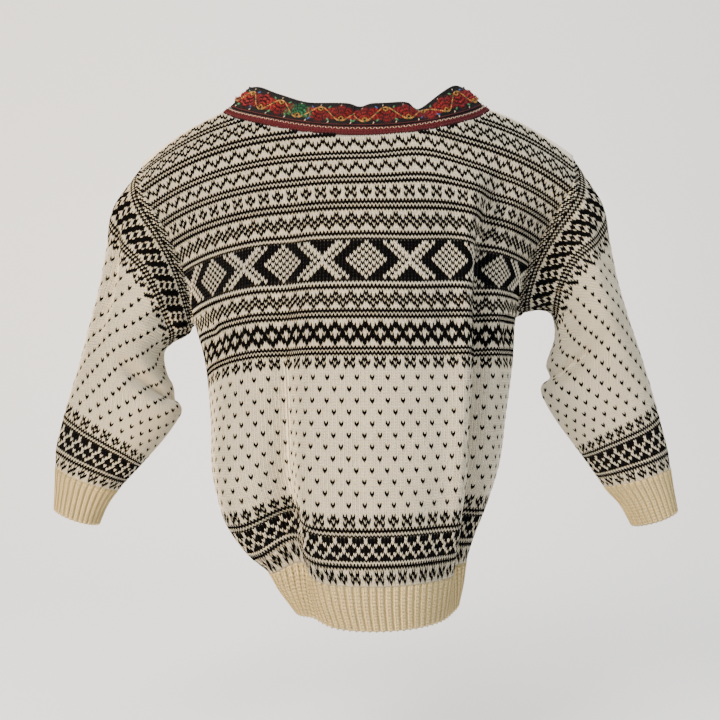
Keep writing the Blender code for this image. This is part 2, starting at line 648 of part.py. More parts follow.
def build_cloth(back, front, sleeves):
    """Weld every panel's grid of points into one surface."""
    cloth = Cloth()
    whole = [-a for a in reversed(ACROSS[1:])] + list(ACROSS)
    half = [FRONT_EDGE] + list(ACROSS[1:])
    strip = [FRONT_CENTRE, FRONT_EDGE]
    up = UP_BELOW + UP_ABOVE
    cloth.add("back", panel_points(back, neckline, up, whole))
    cloth.add("hem_back", panel_points(back, neckline, UP_HEM, whole))
    for side, sign in (("left", -1), ("right", 1)):
        order = slice(None, None, sign)
        for name, heights, places in ((f"{side}_front", up, half),
                                      (f"hem_{side}_front", UP_HEM, half),
                                      (f"{side}_front_braid", UP_HEM[:-1] + up, strip)):
            row = [sign * place for place in places][order]
            cloth.add(name, panel_points(front, front_neckline, heights, row), flip=True)
    for side, sleeve in sleeves.items():
        sign = -1 if side == "left" else 1
        heights = np.array((UNDERARM,) + UP_ABOVE, float)
        edge = np.full_like(heights, sign)
        loop = [back.at(heights, edge), front.at(heights, edge)[::-1]]
        places = []
        for k, part in enumerate(loop):
            length = row_lengths(part[None])[0]
            places += list(0.5 * (k + length[:-1] / length[-1]))
        grid = sleeve.at(np.tile(np.array(DOWN, float)[:, None], (1, len(places))),
                         np.tile(places, (len(DOWN), 1)))
        grid[0] = np.concatenate([part[:-1] for part in loop])
        cuff = sleeve.at(np.tile(np.array(DOWN_CUFF, float)[:, None], (1, len(places))),
                         np.tile(places, (len(DOWN_CUFF), 1)))
        cloth.add(f"{side}_sleeve", grid, flip=sign > 0, wrap=True)
        cloth.add(f"{side}_cuff", cuff, flip=sign > 0, wrap=True)
    ring = neck_ring(back, front)
    cloth.add("neck_braid", trim_points(ring, ring_places(ring), (0.0, NECK_BRAID_HEIGHT)))
    cloth.finish()
    return cloth


def neck_ribbon(cloth, back, front, material, collection):
    """The ribbon above the neck braid, more finely divided for its waves."""
    grid, normals, _, flip, wrap = cloth.panel("neck_braid")
    ring = neck_ring(back, front)
    fine_ring, _ = refine(ring[None], ring[None], 2 * (len(ring) - 1), False)
    fine_ring = fine_ring[0]
    base, base_normals = refine(grid[1:], normals[1:], 2 * (len(ring) - 1), False)
    full = NECK_BRAID_HEIGHT + NECK_RIBBON_HEIGHT
    heights = np.linspace(NECK_BRAID_HEIGHT, full, 4)
    rows = trim_points(fine_ring, ring_places(fine_ring), heights)
    step = rows[0] - fine_ring
    rows[0] = base[0] + step / np.linalg.norm(step, axis=1, keepdims=True) * SEAM_GAP
    outward = grid_normals(rows)
    outward[0] = base_normals[0]
    order = np.tile(np.arange(len(fine_ring)), (len(rows), 1))
    inner = rows - outward * RIBBON_WALL
    return wall("neck_ribbon", rows, inner, order, flip, wrap, material, collection)


def main():
    for old in list(bpy.data.objects):
        bpy.data.objects.remove(old, do_unlink=True)
    collection = bpy.data.collections.new("cardigan")
    bpy.context.scene.collection.children.link(collection)
    rows = np.linspace(HEM_EDGE, SHOULDER, FINE_UP)
    across = np.linspace(-1, 1, FINE_ACROSS)
    back = Surface(rows, across, body_surface(front=False))
    front = Surface(rows, across, body_surface(front=True))
    sleeves = {"left": sleeve_surface(LEFT_SLEEVE, LEFT_SLEEVE_FOLDS, back, front, -1.0),
               "right": sleeve_surface(RIGHT_SLEEVE, RIGHT_SLEEVE_FOLDS, back, front, 1.0)}
    cloth = build_cloth(back, front, sleeves)

    wool = surface_material("off_white_wool", (0.62, 0.56, 0.46), 0.95)
    rib_wool = surface_material("rib_wool", (0.68, 0.60, 0.46), 0.95)
    braid = surface_material("red_braid", (0.18, 0.015, 0.012), 0.85)
    ribbon = surface_material("embroidered_ribbon", (0.30, 0.02, 0.02), 0.8)
    pewter = surface_material("pewter", (0.42, 0.41, 0.39), 0.38, 1.0)

    for name in ("back", "left_front", "right_front", "left_sleeve", "right_sleeve"):
        grid, normals, ids, flip, wrap = cloth.panel(name)
        wall(name, grid, grid - normals * WALL, ids, flip, wrap, wool, collection)
    for name, ribs in (("hem_back", HEM_RIBS_BACK), ("hem_left_front", HEM_RIBS_FRONT),
                       ("hem_right_front", HEM_RIBS_FRONT)):
        ribbed(cloth, name, ribs, False, rib_wool, collection)
    for name in ("left_cuff", "right_cuff"):
        ribbed(cloth, name, CUFF_RIBS, True, rib_wool, collection)
    for name in ("left_front_braid", "right_front_braid", "neck_braid"):
        grid, normals, ids, flip, wrap = cloth.panel(name)
        wall(name, grid, grid - normals * BRAID_WALL, ids, flip, wrap, braid, collection)
    neck_ribbon(cloth, back, front, ribbon, collection)
    add_clasps(front, pewter, collection)


if __name__ == "__main__":
    main()
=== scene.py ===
"""Dress the knitted cardigan: stitches, ribs, neck ribbon, braids, clasps and stage."""

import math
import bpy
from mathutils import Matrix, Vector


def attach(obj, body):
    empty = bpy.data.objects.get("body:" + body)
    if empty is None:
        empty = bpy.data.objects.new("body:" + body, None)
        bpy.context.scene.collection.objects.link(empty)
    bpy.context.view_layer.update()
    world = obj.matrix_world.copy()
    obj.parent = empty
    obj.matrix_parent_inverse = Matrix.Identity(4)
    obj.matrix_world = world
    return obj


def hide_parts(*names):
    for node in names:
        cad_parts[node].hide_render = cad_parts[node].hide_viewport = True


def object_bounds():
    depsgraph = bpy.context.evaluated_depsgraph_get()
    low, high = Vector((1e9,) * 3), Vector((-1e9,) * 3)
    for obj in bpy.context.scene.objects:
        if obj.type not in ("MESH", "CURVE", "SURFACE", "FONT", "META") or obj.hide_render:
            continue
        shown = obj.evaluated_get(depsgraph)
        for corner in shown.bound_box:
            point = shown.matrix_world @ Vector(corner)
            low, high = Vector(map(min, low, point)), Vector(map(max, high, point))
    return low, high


bl_info = {
    "name": "Two-colour knitted cardigan",
    "version": (1, 0, 0),
    "blender": (4, 5, 0),
    "location": "3D View > Sidebar > Cardigan",
    "description": "Knits a two-colour cardigan over its solids, with its ribs, ribbon and clasps",
    "category": "Object",
}

import bpy
import numpy as np
from bpy.props import FloatProperty, FloatVectorProperty, PointerProperty
from bpy.types import Operator, Panel, PropertyGroup
from mathutils import Vector

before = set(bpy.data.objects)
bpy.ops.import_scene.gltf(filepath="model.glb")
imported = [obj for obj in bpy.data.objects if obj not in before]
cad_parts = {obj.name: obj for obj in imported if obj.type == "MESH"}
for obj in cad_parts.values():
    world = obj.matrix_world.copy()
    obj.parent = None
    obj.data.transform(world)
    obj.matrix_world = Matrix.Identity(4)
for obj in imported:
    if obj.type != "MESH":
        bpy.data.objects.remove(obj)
CAD_BOX = [[float(value) for value in corner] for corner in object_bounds()]

MM = 0.001

# The cloth, in millimetres like every size below
WALL = 2.6              # thickness of the two-colour knit
BRAID_WALL = 2.2        # the woven braid of the neck and the front edges
RIBBON_WALL = 1.6       # the embroidered ribbon
SEAM_GAP = 0.3          # left between neighbouring pieces at a seam
RIB_RAISE = 1.4         # how far a rib stands out of the plain wall
RIB_START = 0.35        # share of that height where the ribs meet the panel
HEM_RIBS_BACK = 46
HEM_RIBS_FRONT = 23     # on each front
CUFF_RIBS = 30

# Heights are measured along the cloth, up from the top of the hem rib
HEM_EDGE = -44.0
UNDERARM = 250.0
SHOULDER = 478.0
NECK_POINT = 0.58       # share of the half width at which the neck meets the shoulder seam
BACK_NECK_DROP = 56.0
FRONT_NECK_DROP = 112.0
BACK_NECK_SHAPE = (2.2, 0.8)    # the powers that round the neck edges
FRONT_NECK_SHAPE = (2.4, 0.7)
FRONT_EDGE = 0.040      # share of the half width at which the front's knitting ends
FRONT_CENTRE = 0.0023   # and at which its binding braid ends
ARMHOLE_RISE = 26.0     # the armhole widens over this height above the underarm
ARMHOLE_FALL = 30.0     # and closes over this height below the shoulder
SAG_POWER = 2.6         # how late a knit row starts to fall towards the side

# Cross sections of the back, from the hem's edge to the shoulder seam:
# the middle of the row, its ends on the left and right of the picture, the angle
# through which the row turns from its middle to its end, how early it slopes away,
# and how much wider the middle stitches are than the average
LEVEL_COLUMNS = ("up", "mid_x", "mid_y", "mid_z", "left_x", "left_y", "left_z",
                 "right_x", "right_y", "right_z", "turn", "bevel", "spread")
BACK_LEVELS = {
    "hem edge":    (-44, 12, -96, -494, -66, 2, -489, 98, 2, -485, 92, 1.00, 0.20),
    "rib middle":  (-20, 9, -101, -472, -79, 2, -470, 102, 2, -466, 94, 1.00, 0.26),
    "rib top":     (0, 8, -103, -452, -89, 2, -452, 105, 2, -446, 94, 1.00, 0.28),
    "welt":        (20, 6, -107, -433, -107, 2, -437, 110, 3, -429, 96, 0.95, 0.22),
    "low band":    (48, 5, -109, -405, -127, 2, -413, 121, 5, -403, 96, 0.92, 0.12),
    "blouse":      (92, 4, -109, -361, -143, 2, -368, 136, 7, -358, 96, 0.90, 0.04),
    "lice":        (150, 4, -107, -303, -147, 2, -309, 145, 8, -302, 94, 0.90, 0.00),
    "waist":       (205, 4, -105, -248, -154, 2, -252, 153, 8, -249, 90, 0.88, 0.00),
    "underarm":    (250, 5, -102, -203, -166, 6, -211, 157, 11, -206, 84, 0.86, 0.00),
    "cross band":  (320, 6, -97, -134, -179, 0, -153, 170, 6, -151, 66, 0.82, 0.00),
    "blade":       (371, 5, -88, -84, -196, -8, -114, 188, -2, -113, 54, 0.85, 0.00),
    "yoke":        (405, 2, -74, -53, -208, -15, -93, 200, -9, -93, 48, 0.90, 0.00),
    "neck":        (430, 0, -61, -30, -215, -17, -77, 209, -12, -77, 44, 1.00, 0.00),
    "shoulder":    (478, -4, -20, 16, -218, 10, -50, 214, 10, -43, 40, 1.00, 0.00),
}

# The fronts: middle of the row, and how far the front edge of the armhole stands
# before its back edge. The ends of a row are those of the back.
FRONT_COLUMNS = ("up", "mid_x", "mid_y", "mid_z", "armhole")
FRONT_LEVELS = {
    "hem edge":    (-44, 12, 96, -492, 0),
    "rib middle":  (-20, 9, 100, -470, 0),
    "rib top":     (0, 8, 102, -450, 0),
    "welt":        (20, 6, 106, -432, 0),
    "low band":    (48, 5, 108, -405, 0),
    "blouse":      (92, 4, 108, -361, 0),
    "lice":        (150, 4, 107, -304, 0),
    "waist":       (205, 4, 106, -249, 0),
    "underarm":    (250, 5, 104, -205, 0),
    "cross band":  (320, 6, 98, -137, 58),
    "blade":       (371, 5, 87, -89, 66),
    "yoke":        (405, 2, 71, -58, 62),
    "neck":        (430, 0, 52, -35, 52),
    "shoulder":    (478, -4, -20, 16, 0),
}

# Folds of the body: width, then (height, place across, depth) along the fold.
# The place is a share of the half width, negative on the left of the picture;
# a negative depth is a ridge.
BACK_FOLDS = {
    "left valley":   (17, ((-44, -0.41, 2), (0, -0.41, 14), (45, -0.40, 30), (150, -0.40, 20),
                           (250, -0.38, 9), (320, -0.36, 5), (390, -0.30, 0))),
    "left lobe":     (26, ((0, -0.68, -3), (60, -0.68, -8), (150, -0.70, -7), (230, -0.72, 0))),
    "right edge":    (13, ((-10, 0.45, 0), (45, 0.46, -5), (150, 0.47, -7), (250, 0.49, -6),
                           (340, 0.51, -4), (400, 0.54, 0))),
    "right valley":  (14, ((-44, 0.60, 1), (0, 0.60, 8), (45, 0.60, 19), (150, 0.60, 23),
                           (250, 0.62, 19), (330, 0.64, 15), (400, 0.66, 2))),
    "underarm pull": (12, ((255, -0.97, 0), (236, -0.80, 6), (205, -0.66, 0))),
    "right pull":    (12, ((252, 0.97, 0), (232, 0.84, 5), (200, 0.74, 0))),
}
FRONT_FOLDS = {
    "left valley":   (18, ((-44, -0.50, 1), (0, -0.50, 12), (60, -0.48, 24), (160, -0.47, 18),
                           (260, -0.50, 9), (350, -0.55, 0))),
    "left ridge":    (20, ((0, -0.30, -3), (70, -0.30, -6), (200, -0.32, -3), (280, -0.34, 0))),
    "right valley":  (18, ((-44, 0.56, 1), (0, 0.55, 12), (60, 0.53, 26), (160, 0.52, 20),
                           (260, 0.54, 10), (350, 0.58, 0))),
    "right ridge":   (20, ((0, 0.34, -3), (70, 0.34, -6), (200, 0.35, -3), (280, 0.36, 0))),
    "underarm pull": (12, ((255, -0.97, 0), (232, -0.82, 5), (200, -0.70, 0))),
    "right pull":    (12, ((255, 0.97, 0), (232, 0.82, 5), (200, 0.70, 0))),
}
# How far the knit rows ride up where a fold pulls on them: height, place, reach, lift
BACK_LIFTS = {
    "left valley":  (40, -0.41, 0.13, 11),
    "right lobe":   (60, 0.72, 0.20, 7),
    "right breast": (322, 0.44, 0.16, 4),
}
LIFT_HEIGHT = 75.0      # a lift dies away over this height
LIFT_STOP = 60.0        # and is gone this far below the shoulder
EDGE_FADE = 0.06        # folds die away in this share of the width at a seam
SLEEVE_FADE = 25.0      # and over this length at the armhole

# Sleeves: length down from the armhole, the outer and the inner edge as the picture
# shows them, the middle of the depth and half the depth
SLEEVE_COLUMNS = ("down", "outer_x", "outer_z", "inner_x", "inner_z", "mid_y", "half_y")
LEFT_SLEEVE = {
    "cap":        (30, -249, -91, -173, -219, 19, 39),
    "top":        (65, -257, -134, -181, -225, 20, 43),
    "upper arm":  (105, -265, -177, -191, -230, 20, 44),
    "middle":     (145, -275, -216, -200, -241, 19, 43),
    "over elbow": (185, -284, -250, -196, -264, 18, 37),
    "elbow":      (220, -296, -288, -179, -293, 18, 29),
    "forearm":    (250, -304, -315, -195, -322, 20, 28),
    "low arm":    (280, -310, -339, -222, -353, 23, 27),
    "cuff top":   (300, -311, -356, -248, -381, 25, 25),
    "cuff":       (325, -312, -379, -261, -399, 27, 23.5),
    "cuff edge":  (347, -313, -400, -269, -417, 28, 23.5),
}
RIGHT_SLEEVE = {
    "cap":        (30, 244, -86, 170, -199, 19, 39),
    "top":        (65, 253, -126, 184, -197, 20, 42),
    "upper arm":  (105, 261, -167, 197, -203, 20, 43),
    "middle":     (145, 271, -202, 199, -226, 19, 42),
    "over elbow": (185, 285, -243, 189, -254, 18, 36),
    "elbow":      (220, 297, -281, 184, -279, 18, 29),
    "forearm":    (250, 306, -312, 199, -308, 20, 28),
    "low arm":    (280, 314, -341, 229, -348, 23, 27),
    "cuff top":   (300, 317, -358, 250, -377, 25, 25),
    "cuff":       (325, 321, -381, 268, -397, 27, 23.5),
    "cuff edge":  (347, 325, -402, 280, -418, 28, 23.5),
}
CUFF_TOP = 300.0
CUFF_EDGE = 347.0
# Sleeve folds: width, then (length down, place round, depth). The place runs from the
# underarm, 0, over the back of the sleeve, 0.25, to its outer edge, 0.5, and the front.
LEFT_SLEEVE_FOLDS = {
    "cap crease":  (10, ((18, 0.42, 0), (60, 0.385, 9), (110, 0.36, 9), (165, 0.34, 2))),
    "elbow break": (11, ((165, 0.26, 0), (195, 0.17, 10), (208, 0.08, 12), (212, 0.0, 4))),
    "elbow front": (11, ((175, 0.72, 0), (200, 0.84, 8), (210, 0.93, 8), (212, 1.0, 4))),
    "inner pull":  (12, ((20, 0.10, 2), (60, 0.12, 7), (105, 0.16, 0))),
}
RIGHT_SLEEVE_FOLDS = {
    "cap crease":  (11, ((20, 0.40, 0), (70, 0.37, 5), (130, 0.35, 0))),
    "elbow break": (11, ((150, 0.30, 0), (178, 0.18, 9), (196, 0.08, 11), (200, 0.0, 4))),
    "elbow front": (11, ((165, 0.72, 0), (190, 0.84, 8), (200, 0.93, 8), (200, 1.0, 4))),
    "inner pull":  (12, ((20, 0.10, 2), (60, 0.13, 6), (110, 0.17, 0))),
}

# The trim that stands round the neck: a narrow woven braid below, an embroidered
# ribbon above. It leans in by an angle that is small behind, large over the shoulders.
NECK_BRAID_HEIGHT = 9.0
NECK_RIBBON_HEIGHT = 25.0
LEAN_PLACES = (0.0, 0.12, 0.21, 0.32, 0.5)
LEAN_ANGLES = (16.0, 26.0, 52.0, 40.0, 34.0)
# Waves of the ribbon's free edge: place round the neck (0 at the middle of the back,
# 0.5 at the front opening, negative on the left), half length, rise, inward lean
NECK_WAVES = {
    "left shoulder":   (-0.185, 0.045, 7.0, 0.0),
    "left hollow":     (-0.085, 0.030, -2.0, 2.0),
    "notch":           (0.000, 0.012, -3.0, 3.0),
    "right fold":      (0.108, 0.022, -10.0, 8.0),
    "right shoulder":  (0.175, 0.035, 8.0, -2.0),
    "left front":      (-0.330, 0.030, -2.5, 2.5),
    "right front":     (0.340, 0.030, -2.5, 2.5),
}

# Plain pewter clasps down the front, from edge to edge
CLASP_HEIGHTS = (-20, 66, 152, 238, 324)
PLATE_LENGTH = 15.0
PLATE_WIDTH = 11.0
PLATE_THICKNESS = 1.8
HOOK_LENGTH = 12.0
HOOK_WIDTH = 4.2
HOOK_THICKNESS = 1.4
PLATE_CLEARANCE = 0.45  # between the cloth and a plate
PLATE_APART = 0.8       # from the opening to a plate's edge
HOOK_CLEARANCE = 0.8    # between the plates and the hook

# How finely the cloth's faces are worked out
FINE_ACROSS = 385
FINE_UP = 175
FINE_ROUND = 241
FINE_DOWN = 140
FINE_ARMHOLE = 120
HALF_TURN = 360         # points round half a sleeve ring before it is spaced evenly
TRIM_BESIDE = 140       # points of the neck edge on each front
TRIM_BEHIND = 221       # and across the back, both ends included
TRIM_UP = 35            # and of the trim, from its foot to its free edge

# What the knitter follows: charts from the bottom row up, columns from the middle of
# a motif to the right, repeated across. A hash is a dark stitch, a dot a light one.
CHARTS = {
    "plain": (".",),
    "line": ("#",),
    "triple line": ("#", ".", "#"),
    "x and o": ("#..#.#..", ".#..#..#", "#..#.#.."),
    "zigzag": ("#...", ".#.#", "..#."),
    "checker": ("..#.", ".#.#", "#.#.", ".#.#", "#..."),
    "crosses": ("#...", "##.#", ".###", "..#.", ".###", "##.#", "#..."),
    "lattice": ("####", ".###", "#.#.", "##.#", "##.#", "#.#.", ".###", ".###", "####"),
    "diamonds": ("#...", ".#.#", "..#.", ".#.#", "#..."),
    "two crosses": ("#...", "##.#", ".###", "..#.", ".###", "##.#", "#...", "##.#", ".###", "..#."),
}
LICE_ROWS = 4           # rows from one line of single stitches to the next
BAND_REPEAT = 24        # stitches in one repeat of the broad band
BAND_HALF = 6           # rows above and below its middle row
MOTIF_HALF = 5          # half the size of its checked diamonds and crosses
LIGHT_ON_TOP = ("lattice", "broad band")    # where the light yarn stands out, not the dark

# Bands of the body, by their heights along the cloth above the hem rib. The spaces
# between bands are plain.
BODY_BANDS = (
    ("plain", 0.0, 3.2),
    ("x and o", 3.2, 14.6),
    ("line", 18.4, 21.5),
    ("lattice", 24.4, 48.4),
    ("line", 51.1, 53.8),
    ("x and o", 56.3, 65.9),
    ("lice", 65.9, 198.6),
    ("x and o", 198.6, 207.6),
    ("triple line", 210.0, 217.0),
    ("crosses", 219.2, 240.2),
    ("triple line", 243.2, 251.0),
    ("checker", 253.0, 267.2),
    ("line", 270.0, 272.8),
    ("broad band", 275.8, 316.8),
    ("line", 319.5, 322.3),
    ("checker", 325.3, 340.0),
    ("triple line", 343.2, 351.8),
    ("x and o", 355.0, 364.7),
    ("triple line", 368.2, 376.8),
    ("zigzag", 380.6, 391.0),
    ("triple line", 394.2, 402.8),
    ("zigzag", 406.4, 417.0),
    ("triple line", 420.4, 430.0),
    ("diamonds", 433.4, 450.0),
    ("triple line", 453.2, 462.4),
    ("zigzag", 465.6, 475.0),
    ("plain", 475.0, 478.0),
)
# Where the finished rows bow on the cloth: height, place across, reach of each, rise
BACK_BOWS = {
    "right blade": (405, 0.26, 45, 0.15, 7.0),
    "left flank": (215, -1.02, 85, 0.34, -20.0),
}
FRONT_BOWS = {}         # the rows of the fronts lie level
BODY_STITCHES = 127     # across the back, an odd number so that one is in the middle
FRONT_FIRST = 3         # the stitch beside the front edge, counted from the middle
BODY_ROW = 2.62         # height of a row in the plain cloth

# Bands of a sleeve, by the length down from the armhole, from the cuff up
SLEEVE_BANDS = (
    ("plain", 300.0, 297.4),
    ("x and o", 297.4, 288.4),
    ("line", 285.8, 282.8),
    ("lattice", 279.9, 253.4),
    ("line", 250.8, 248.2),
    ("x and o", 245.5, 236.4),
    ("lice", 236.4, 68.4),
    ("x and o", 68.4, 59.2),
    ("triple line", 56.4, 48.2),
    ("two crosses", 45.6, 18.4),
    ("triple line", 15.8, 8.4),
    ("checker", 8.4, 0.4),
)
SLEEVE_BOWS = {
    "back of the cap": (60, 0.24, 28, 0.10, -5.0),
    "outer edge": (55, 0.46, 30, 0.09, 7.0),
}
# Lengths down a sleeve, and how many stitches go round it there
SLEEVE_COUNT_DOWN = (0, 20, 60, 105, 185, 250, 280, 300)
SLEEVE_COUNT = (102, 100, 92, 84, 80, 81, 70, 64)

# One leg of the V of a stitch, in shares of the stitch: across, up and out
STITCH_LEG = {
    "root": (0.03, -0.64, 0.85),
    "inner side": (-0.02, 0.20, 0.0),
    "outer side": (0.52, 0.10, 0.0),
    "tip": (0.34, 0.58, 0.60),
}
STITCH_SINK = 0.62      # how deep the feet of the stitches lie under the cloth's face
PROUD_LIFT = 0.16       # how much higher the stitches of the pattern stand
PROUD_DARK = (1.30, 1.50, 1.05)     # and how much wider, taller and thicker they are
PROUD_LIGHT = (1.0, 1.06, 1.0)
NECK_CLEAR = 1.0        # from the last row to the neck edge
SHELL_SINK = 0.55       # how deep the cloth lies that backs the stitches
CELL = 4.4              # size of a facet of that backing cloth
BACK_HALF_WIDTH = 218.0     # of the back, by which that cloth is divided across
SLEEVE_FACETS = 72      # round a sleeve
RIB_FACETS = 6          # across one rib
HEM_ROWS = 12           # rows of points in the hem's ribs
CUFF_ROWS = 13          # and in the cuffs'
RIB_VALLEY = 1.5        # how fast the shade of a valley fades up a rib
RIB_ROW = 3.1           # height of a stitch in the ribs
RIB_WIDTH = 0.74        # share of a rib's pitch that its stitches fill
RIB_STITCH_SINK = 0.95  # how deep their feet lie under the crest
RIB_STITCH_RISE = 0.66  # how plump they are beside the other stitches
RIB_STITCH_REACH = 1.3  # and how much more they overlap
RIB_STITCH_INSET = 1.1  # from the ends of the ribs

# The woven braid: from and to in shares of its width, pitch, slant, rise, the share of
# the pitch that a thread fills, and colours
BRAID_ROWS = {
    "dark edge": (0.00, 0.15, 1.7, 0.3, 0.8, 0.9, ("black",)),
    "red down": (0.13, 0.39, 1.5, 0.8, 0.9, 0.85, ("braid red", "braid shade")),
    "red up": (0.37, 0.64, 1.5, -0.8, 0.9, 0.85, ("braid red", "braid shade")),
    "light zigzag up": (0.64, 0.91, 5.4, 1.08, 1.2, 0.20, ("cream",)),
    "light zigzag down": (0.64, 0.91, 5.4, -1.08, 1.2, 0.20, ("cream",)),
    "black edge": (0.90, 1.00, 1.7, 0.3, 0.7, 0.9, ("black",)),
}
BRAID_SINK = 0.35       # how deep the ground lies under the threads
THREAD_FOOT = -0.1      # where a thread's rim lies, in shares of its rise
BRAID_END = 1.0         # left free at each end
BRAID_CELL = 1.9        # size of a facet of its ground
RIBBON_CELL = 2.2       # and of the ribbon's
BRAID_WIDTH_AT = 150.0  # the height at which a front braid's width is taken
HALF_ALONG = 0.4        # the directions of a trim are read over these lengths
HALF_ACROSS = 0.3

# The ribbon's embroidery: a vine mirrored about the seam in the middle of the back
VINE_REPEAT = 41.5
VINE_FIRST_LOW = 11.0   # from the middle
VINE_MIDDLE = 12.6      # above the ribbon's lower edge
VINE_SWING = 6.6
VINE_STITCH = (3.6, 1.7, 2.1)   # length, width and rise of its stem stitches
VINE_STEP = 0.4         # from one to the next, in shares of their length
VINE_TWIST = 10         # degrees that they turn out of its line
VINE_COLOURS = ("orange", "yellow", "orange", "green")
BLOSSOM_SPREAD = 98     # degrees to each side of a blossom's middle
BLOSSOM_LOBES = 5
BLOSSOM_NOTCH = 0.20    # how much shorter it is between its lobes
BLOSSOM_FOOT = 1.3      # from the vine
BLOSSOM_THREAD = 1.3    # width of its satin stitches
BLOSSOM_PITCH = 0.92    # and from one to the next, in shares of that width
BLOSSOM_LAP = 1.15      # the length of each, in shares of the width of its ring
BLOSSOM_RINGS = (       # from and to along its radius, rise, and the thread's two tones
    (1.0, 3.2, 1.9, "orange", "yellow"),
    (2.8, 7.0, 1.8, "bright red", "red"),
    (6.2, 11.0, 1.6, "red", "bright red"),
    (10.0, 14.6, 1.4, "red", "red"),
    (14.2, 16.0, 1.1, "crimson", "crimson"),
)
GREEN_THREADS = {"crimson": "dark green", "red": "green", "bright red": "bright green",
                 "orange": "yellow", "yellow": "yellow"}
LEAF_REACH = 10.4       # from a blossom's foot to the leaves beside it
LEAF_DROP = 3.0         # and how far beyond the foot they start
LEAF_TURN = 48          # degrees from the way the blossom faces
LEAF_STITCH = (4.4, 2.2, 1.5)   # length, width and rise
EDGE_PITCH = 1.5        # from one stitch of the ribbon's rim to the next
# Stitches along the ribbon's edges: place across, below the upper edge where it is
# negative, heading, length, width, rise and colour
LOWER_WEDGE = (2.3, 0, 2.6, 2.8, 0.9, "cream")
UPPER_WEDGE = (-2.0, 180, 2.2, 2.4, 0.9, "cream")
OVERCAST = (-1.7, 12, 2.0, 1.4, 0.9, "black")
RED_CORD = (1.3, 78, 2.0, 0.9, 0.9, "braid red")
SEAM_STITCH = (0, 1.7, 1.3, 2.0, "black")       # up the seam behind, so with no place across
GREEN_BLOSSOM = -3      # which blossom is worked in green, counted from the middle
THREADS = {
    "black": (0.006, 0.005, 0.006),
    "crimson": (0.040, 0.002, 0.004),
    "red": (0.225, 0.006, 0.010),
    "bright red": (0.320, 0.014, 0.014),
    "braid red": (0.160, 0.008, 0.012),
    "braid shade": (0.048, 0.003, 0.006),
    "cream": (0.620, 0.520, 0.380),
    "orange": (0.520, 0.170, 0.035),
    "yellow": (0.520, 0.310, 0.070),
    "dark green": (0.006, 0.045, 0.020),
    "green": (0.015, 0.140, 0.055),
    "bright green": (0.040, 0.240, 0.100),
    "blue": (0.030, 0.080, 0.260),
}

# Clasps
PLATE_RINGS = 12
PLATE_TURNS = 40
ROSETTE = 8             # petals of a clasp's rosette
# The relief of a plate, in shares of its thickness: height, place out from the middle
# and reach
PLATE_GROUND = 0.42
PLATE_PETALS = (0.62, 0.52, 0.20)
PLATE_BEADS = (0.55, 0.88, 0.07)
PLATE_BOSS = (0.75, 0.0, 0.22)
PLATE_EDGE = 0.15
PLATE_HOLLOW = (0.62, 0.20)     # darker below this height, and wholly so this far below
SCALLOP = 0.03          # of the plate's rim, in shares of its size
HOOK_SECTIONS = 17
HOOK_ROUND = 12
HOOK_WAIST = 0.62       # its narrowest width, in shares of its loops'
HOOK_THIN = 0.75        # its thickness beside the bead, in shares of its full one
HOOK_BEAD = (1.0, 0.0, 0.22)        # width, place and reach of the bead in its middle
HOOK_BEAD_RISE = (0.45, 0.0, 0.2)   # and how much thicker it is
HOOK_SQUARE = 8         # how square its ends are
HOOK_TIP = 0.03         # and the square of the share of its width left at its very ends

# The stage, in metres
FLOOR_FRONT = -3.0
FLOOR_HALF_WIDTH = 3.5
WALL_TOP = 3.2          # above the floor
WALL_POINTS = 13        # round the bend between the floor and the wall
LENS = 50.0             # in millimetres
SENSOR = 36.0           # and its width of picture
ROOM_COLOUR = (0.95, 0.97, 1.0, 1.0)
ROOM_STRENGTH = 0.8
# Lights: place, size, the setting that gives the power and its share, and colour
LIGHTS = {
    "key light": ((-1.0, -1.2, 0.95), 0.9, "key", 1.0, (1.0, 0.98, 0.95)),
    "warm light": ((-1.5, -1.15, -0.5), 0.7, "warm", 1.0, (1.0, 0.69, 0.33)),
    "fill light": ((1.6, -1.2, 0.2), 1.3, "fill", 1.0, (0.92, 0.96, 1.0)),
    "top light": ((0.0, -0.2, 1.5), 1.6, "fill", 1.0, (0.96, 0.98, 1.0)),
    "back light": ((0.0, 1.2, 0.6), 1.2, "fill", 0.6, (1.0, 1.0, 1.0)),
}


# The shape of the cloth

def smooth_table(table, names, places):
    """Read the columns of a table at the given places, through a smooth curve."""
    rows = np.array(list(table.values()), float)
    knots = rows[:, 0]
    slopes = np.gradient(rows, knots, axis=0)
    cell = np.clip(np.searchsorted(knots, places, side="right") - 1, 0, len(knots) - 2)
    span = (knots[cell + 1] - knots[cell])[:, None]
    t = (np.asarray(places, float)[:, None] - knots[cell][:, None]) / span
    start = 2 * t**3 - 3 * t**2 + 1
    leave = t**3 - 2 * t**2 + t
    arrive = t**3 - t**2
    values = (start * rows[cell] + leave * span * slopes[cell]
              + (1 - start) * rows[cell + 1] + arrive * span * slopes[cell + 1])
    return {name: values[:, k] for k, name in enumerate(names)}


def row_lengths(points):
    """Length along each row of a grid of points, from its first point."""
    steps = np.linalg.norm(np.diff(points, axis=1), axis=2)
    return np.concatenate([np.zeros((len(points), 1)), np.cumsum(steps, axis=1)], axis=1)


def even_rows(points, places, spread):
    """Space each row's stitches evenly along both halves of the row."""
    half = points.shape[1] // 2
    lengths = row_lengths(points)
    result = np.empty((len(points), len(places), 3))
    for r, length in enumerate(lengths):
        share = places * (1 + spread[r] * (1 - places**2))
        left, right = length[half], length[-1] - length[half]
        target = np.where(share < 0, left * (1 + share), left + right * share)
        for axis in range(3):
            result[r, :, axis] = np.interp(target, length, points[r, :, axis])
    return result


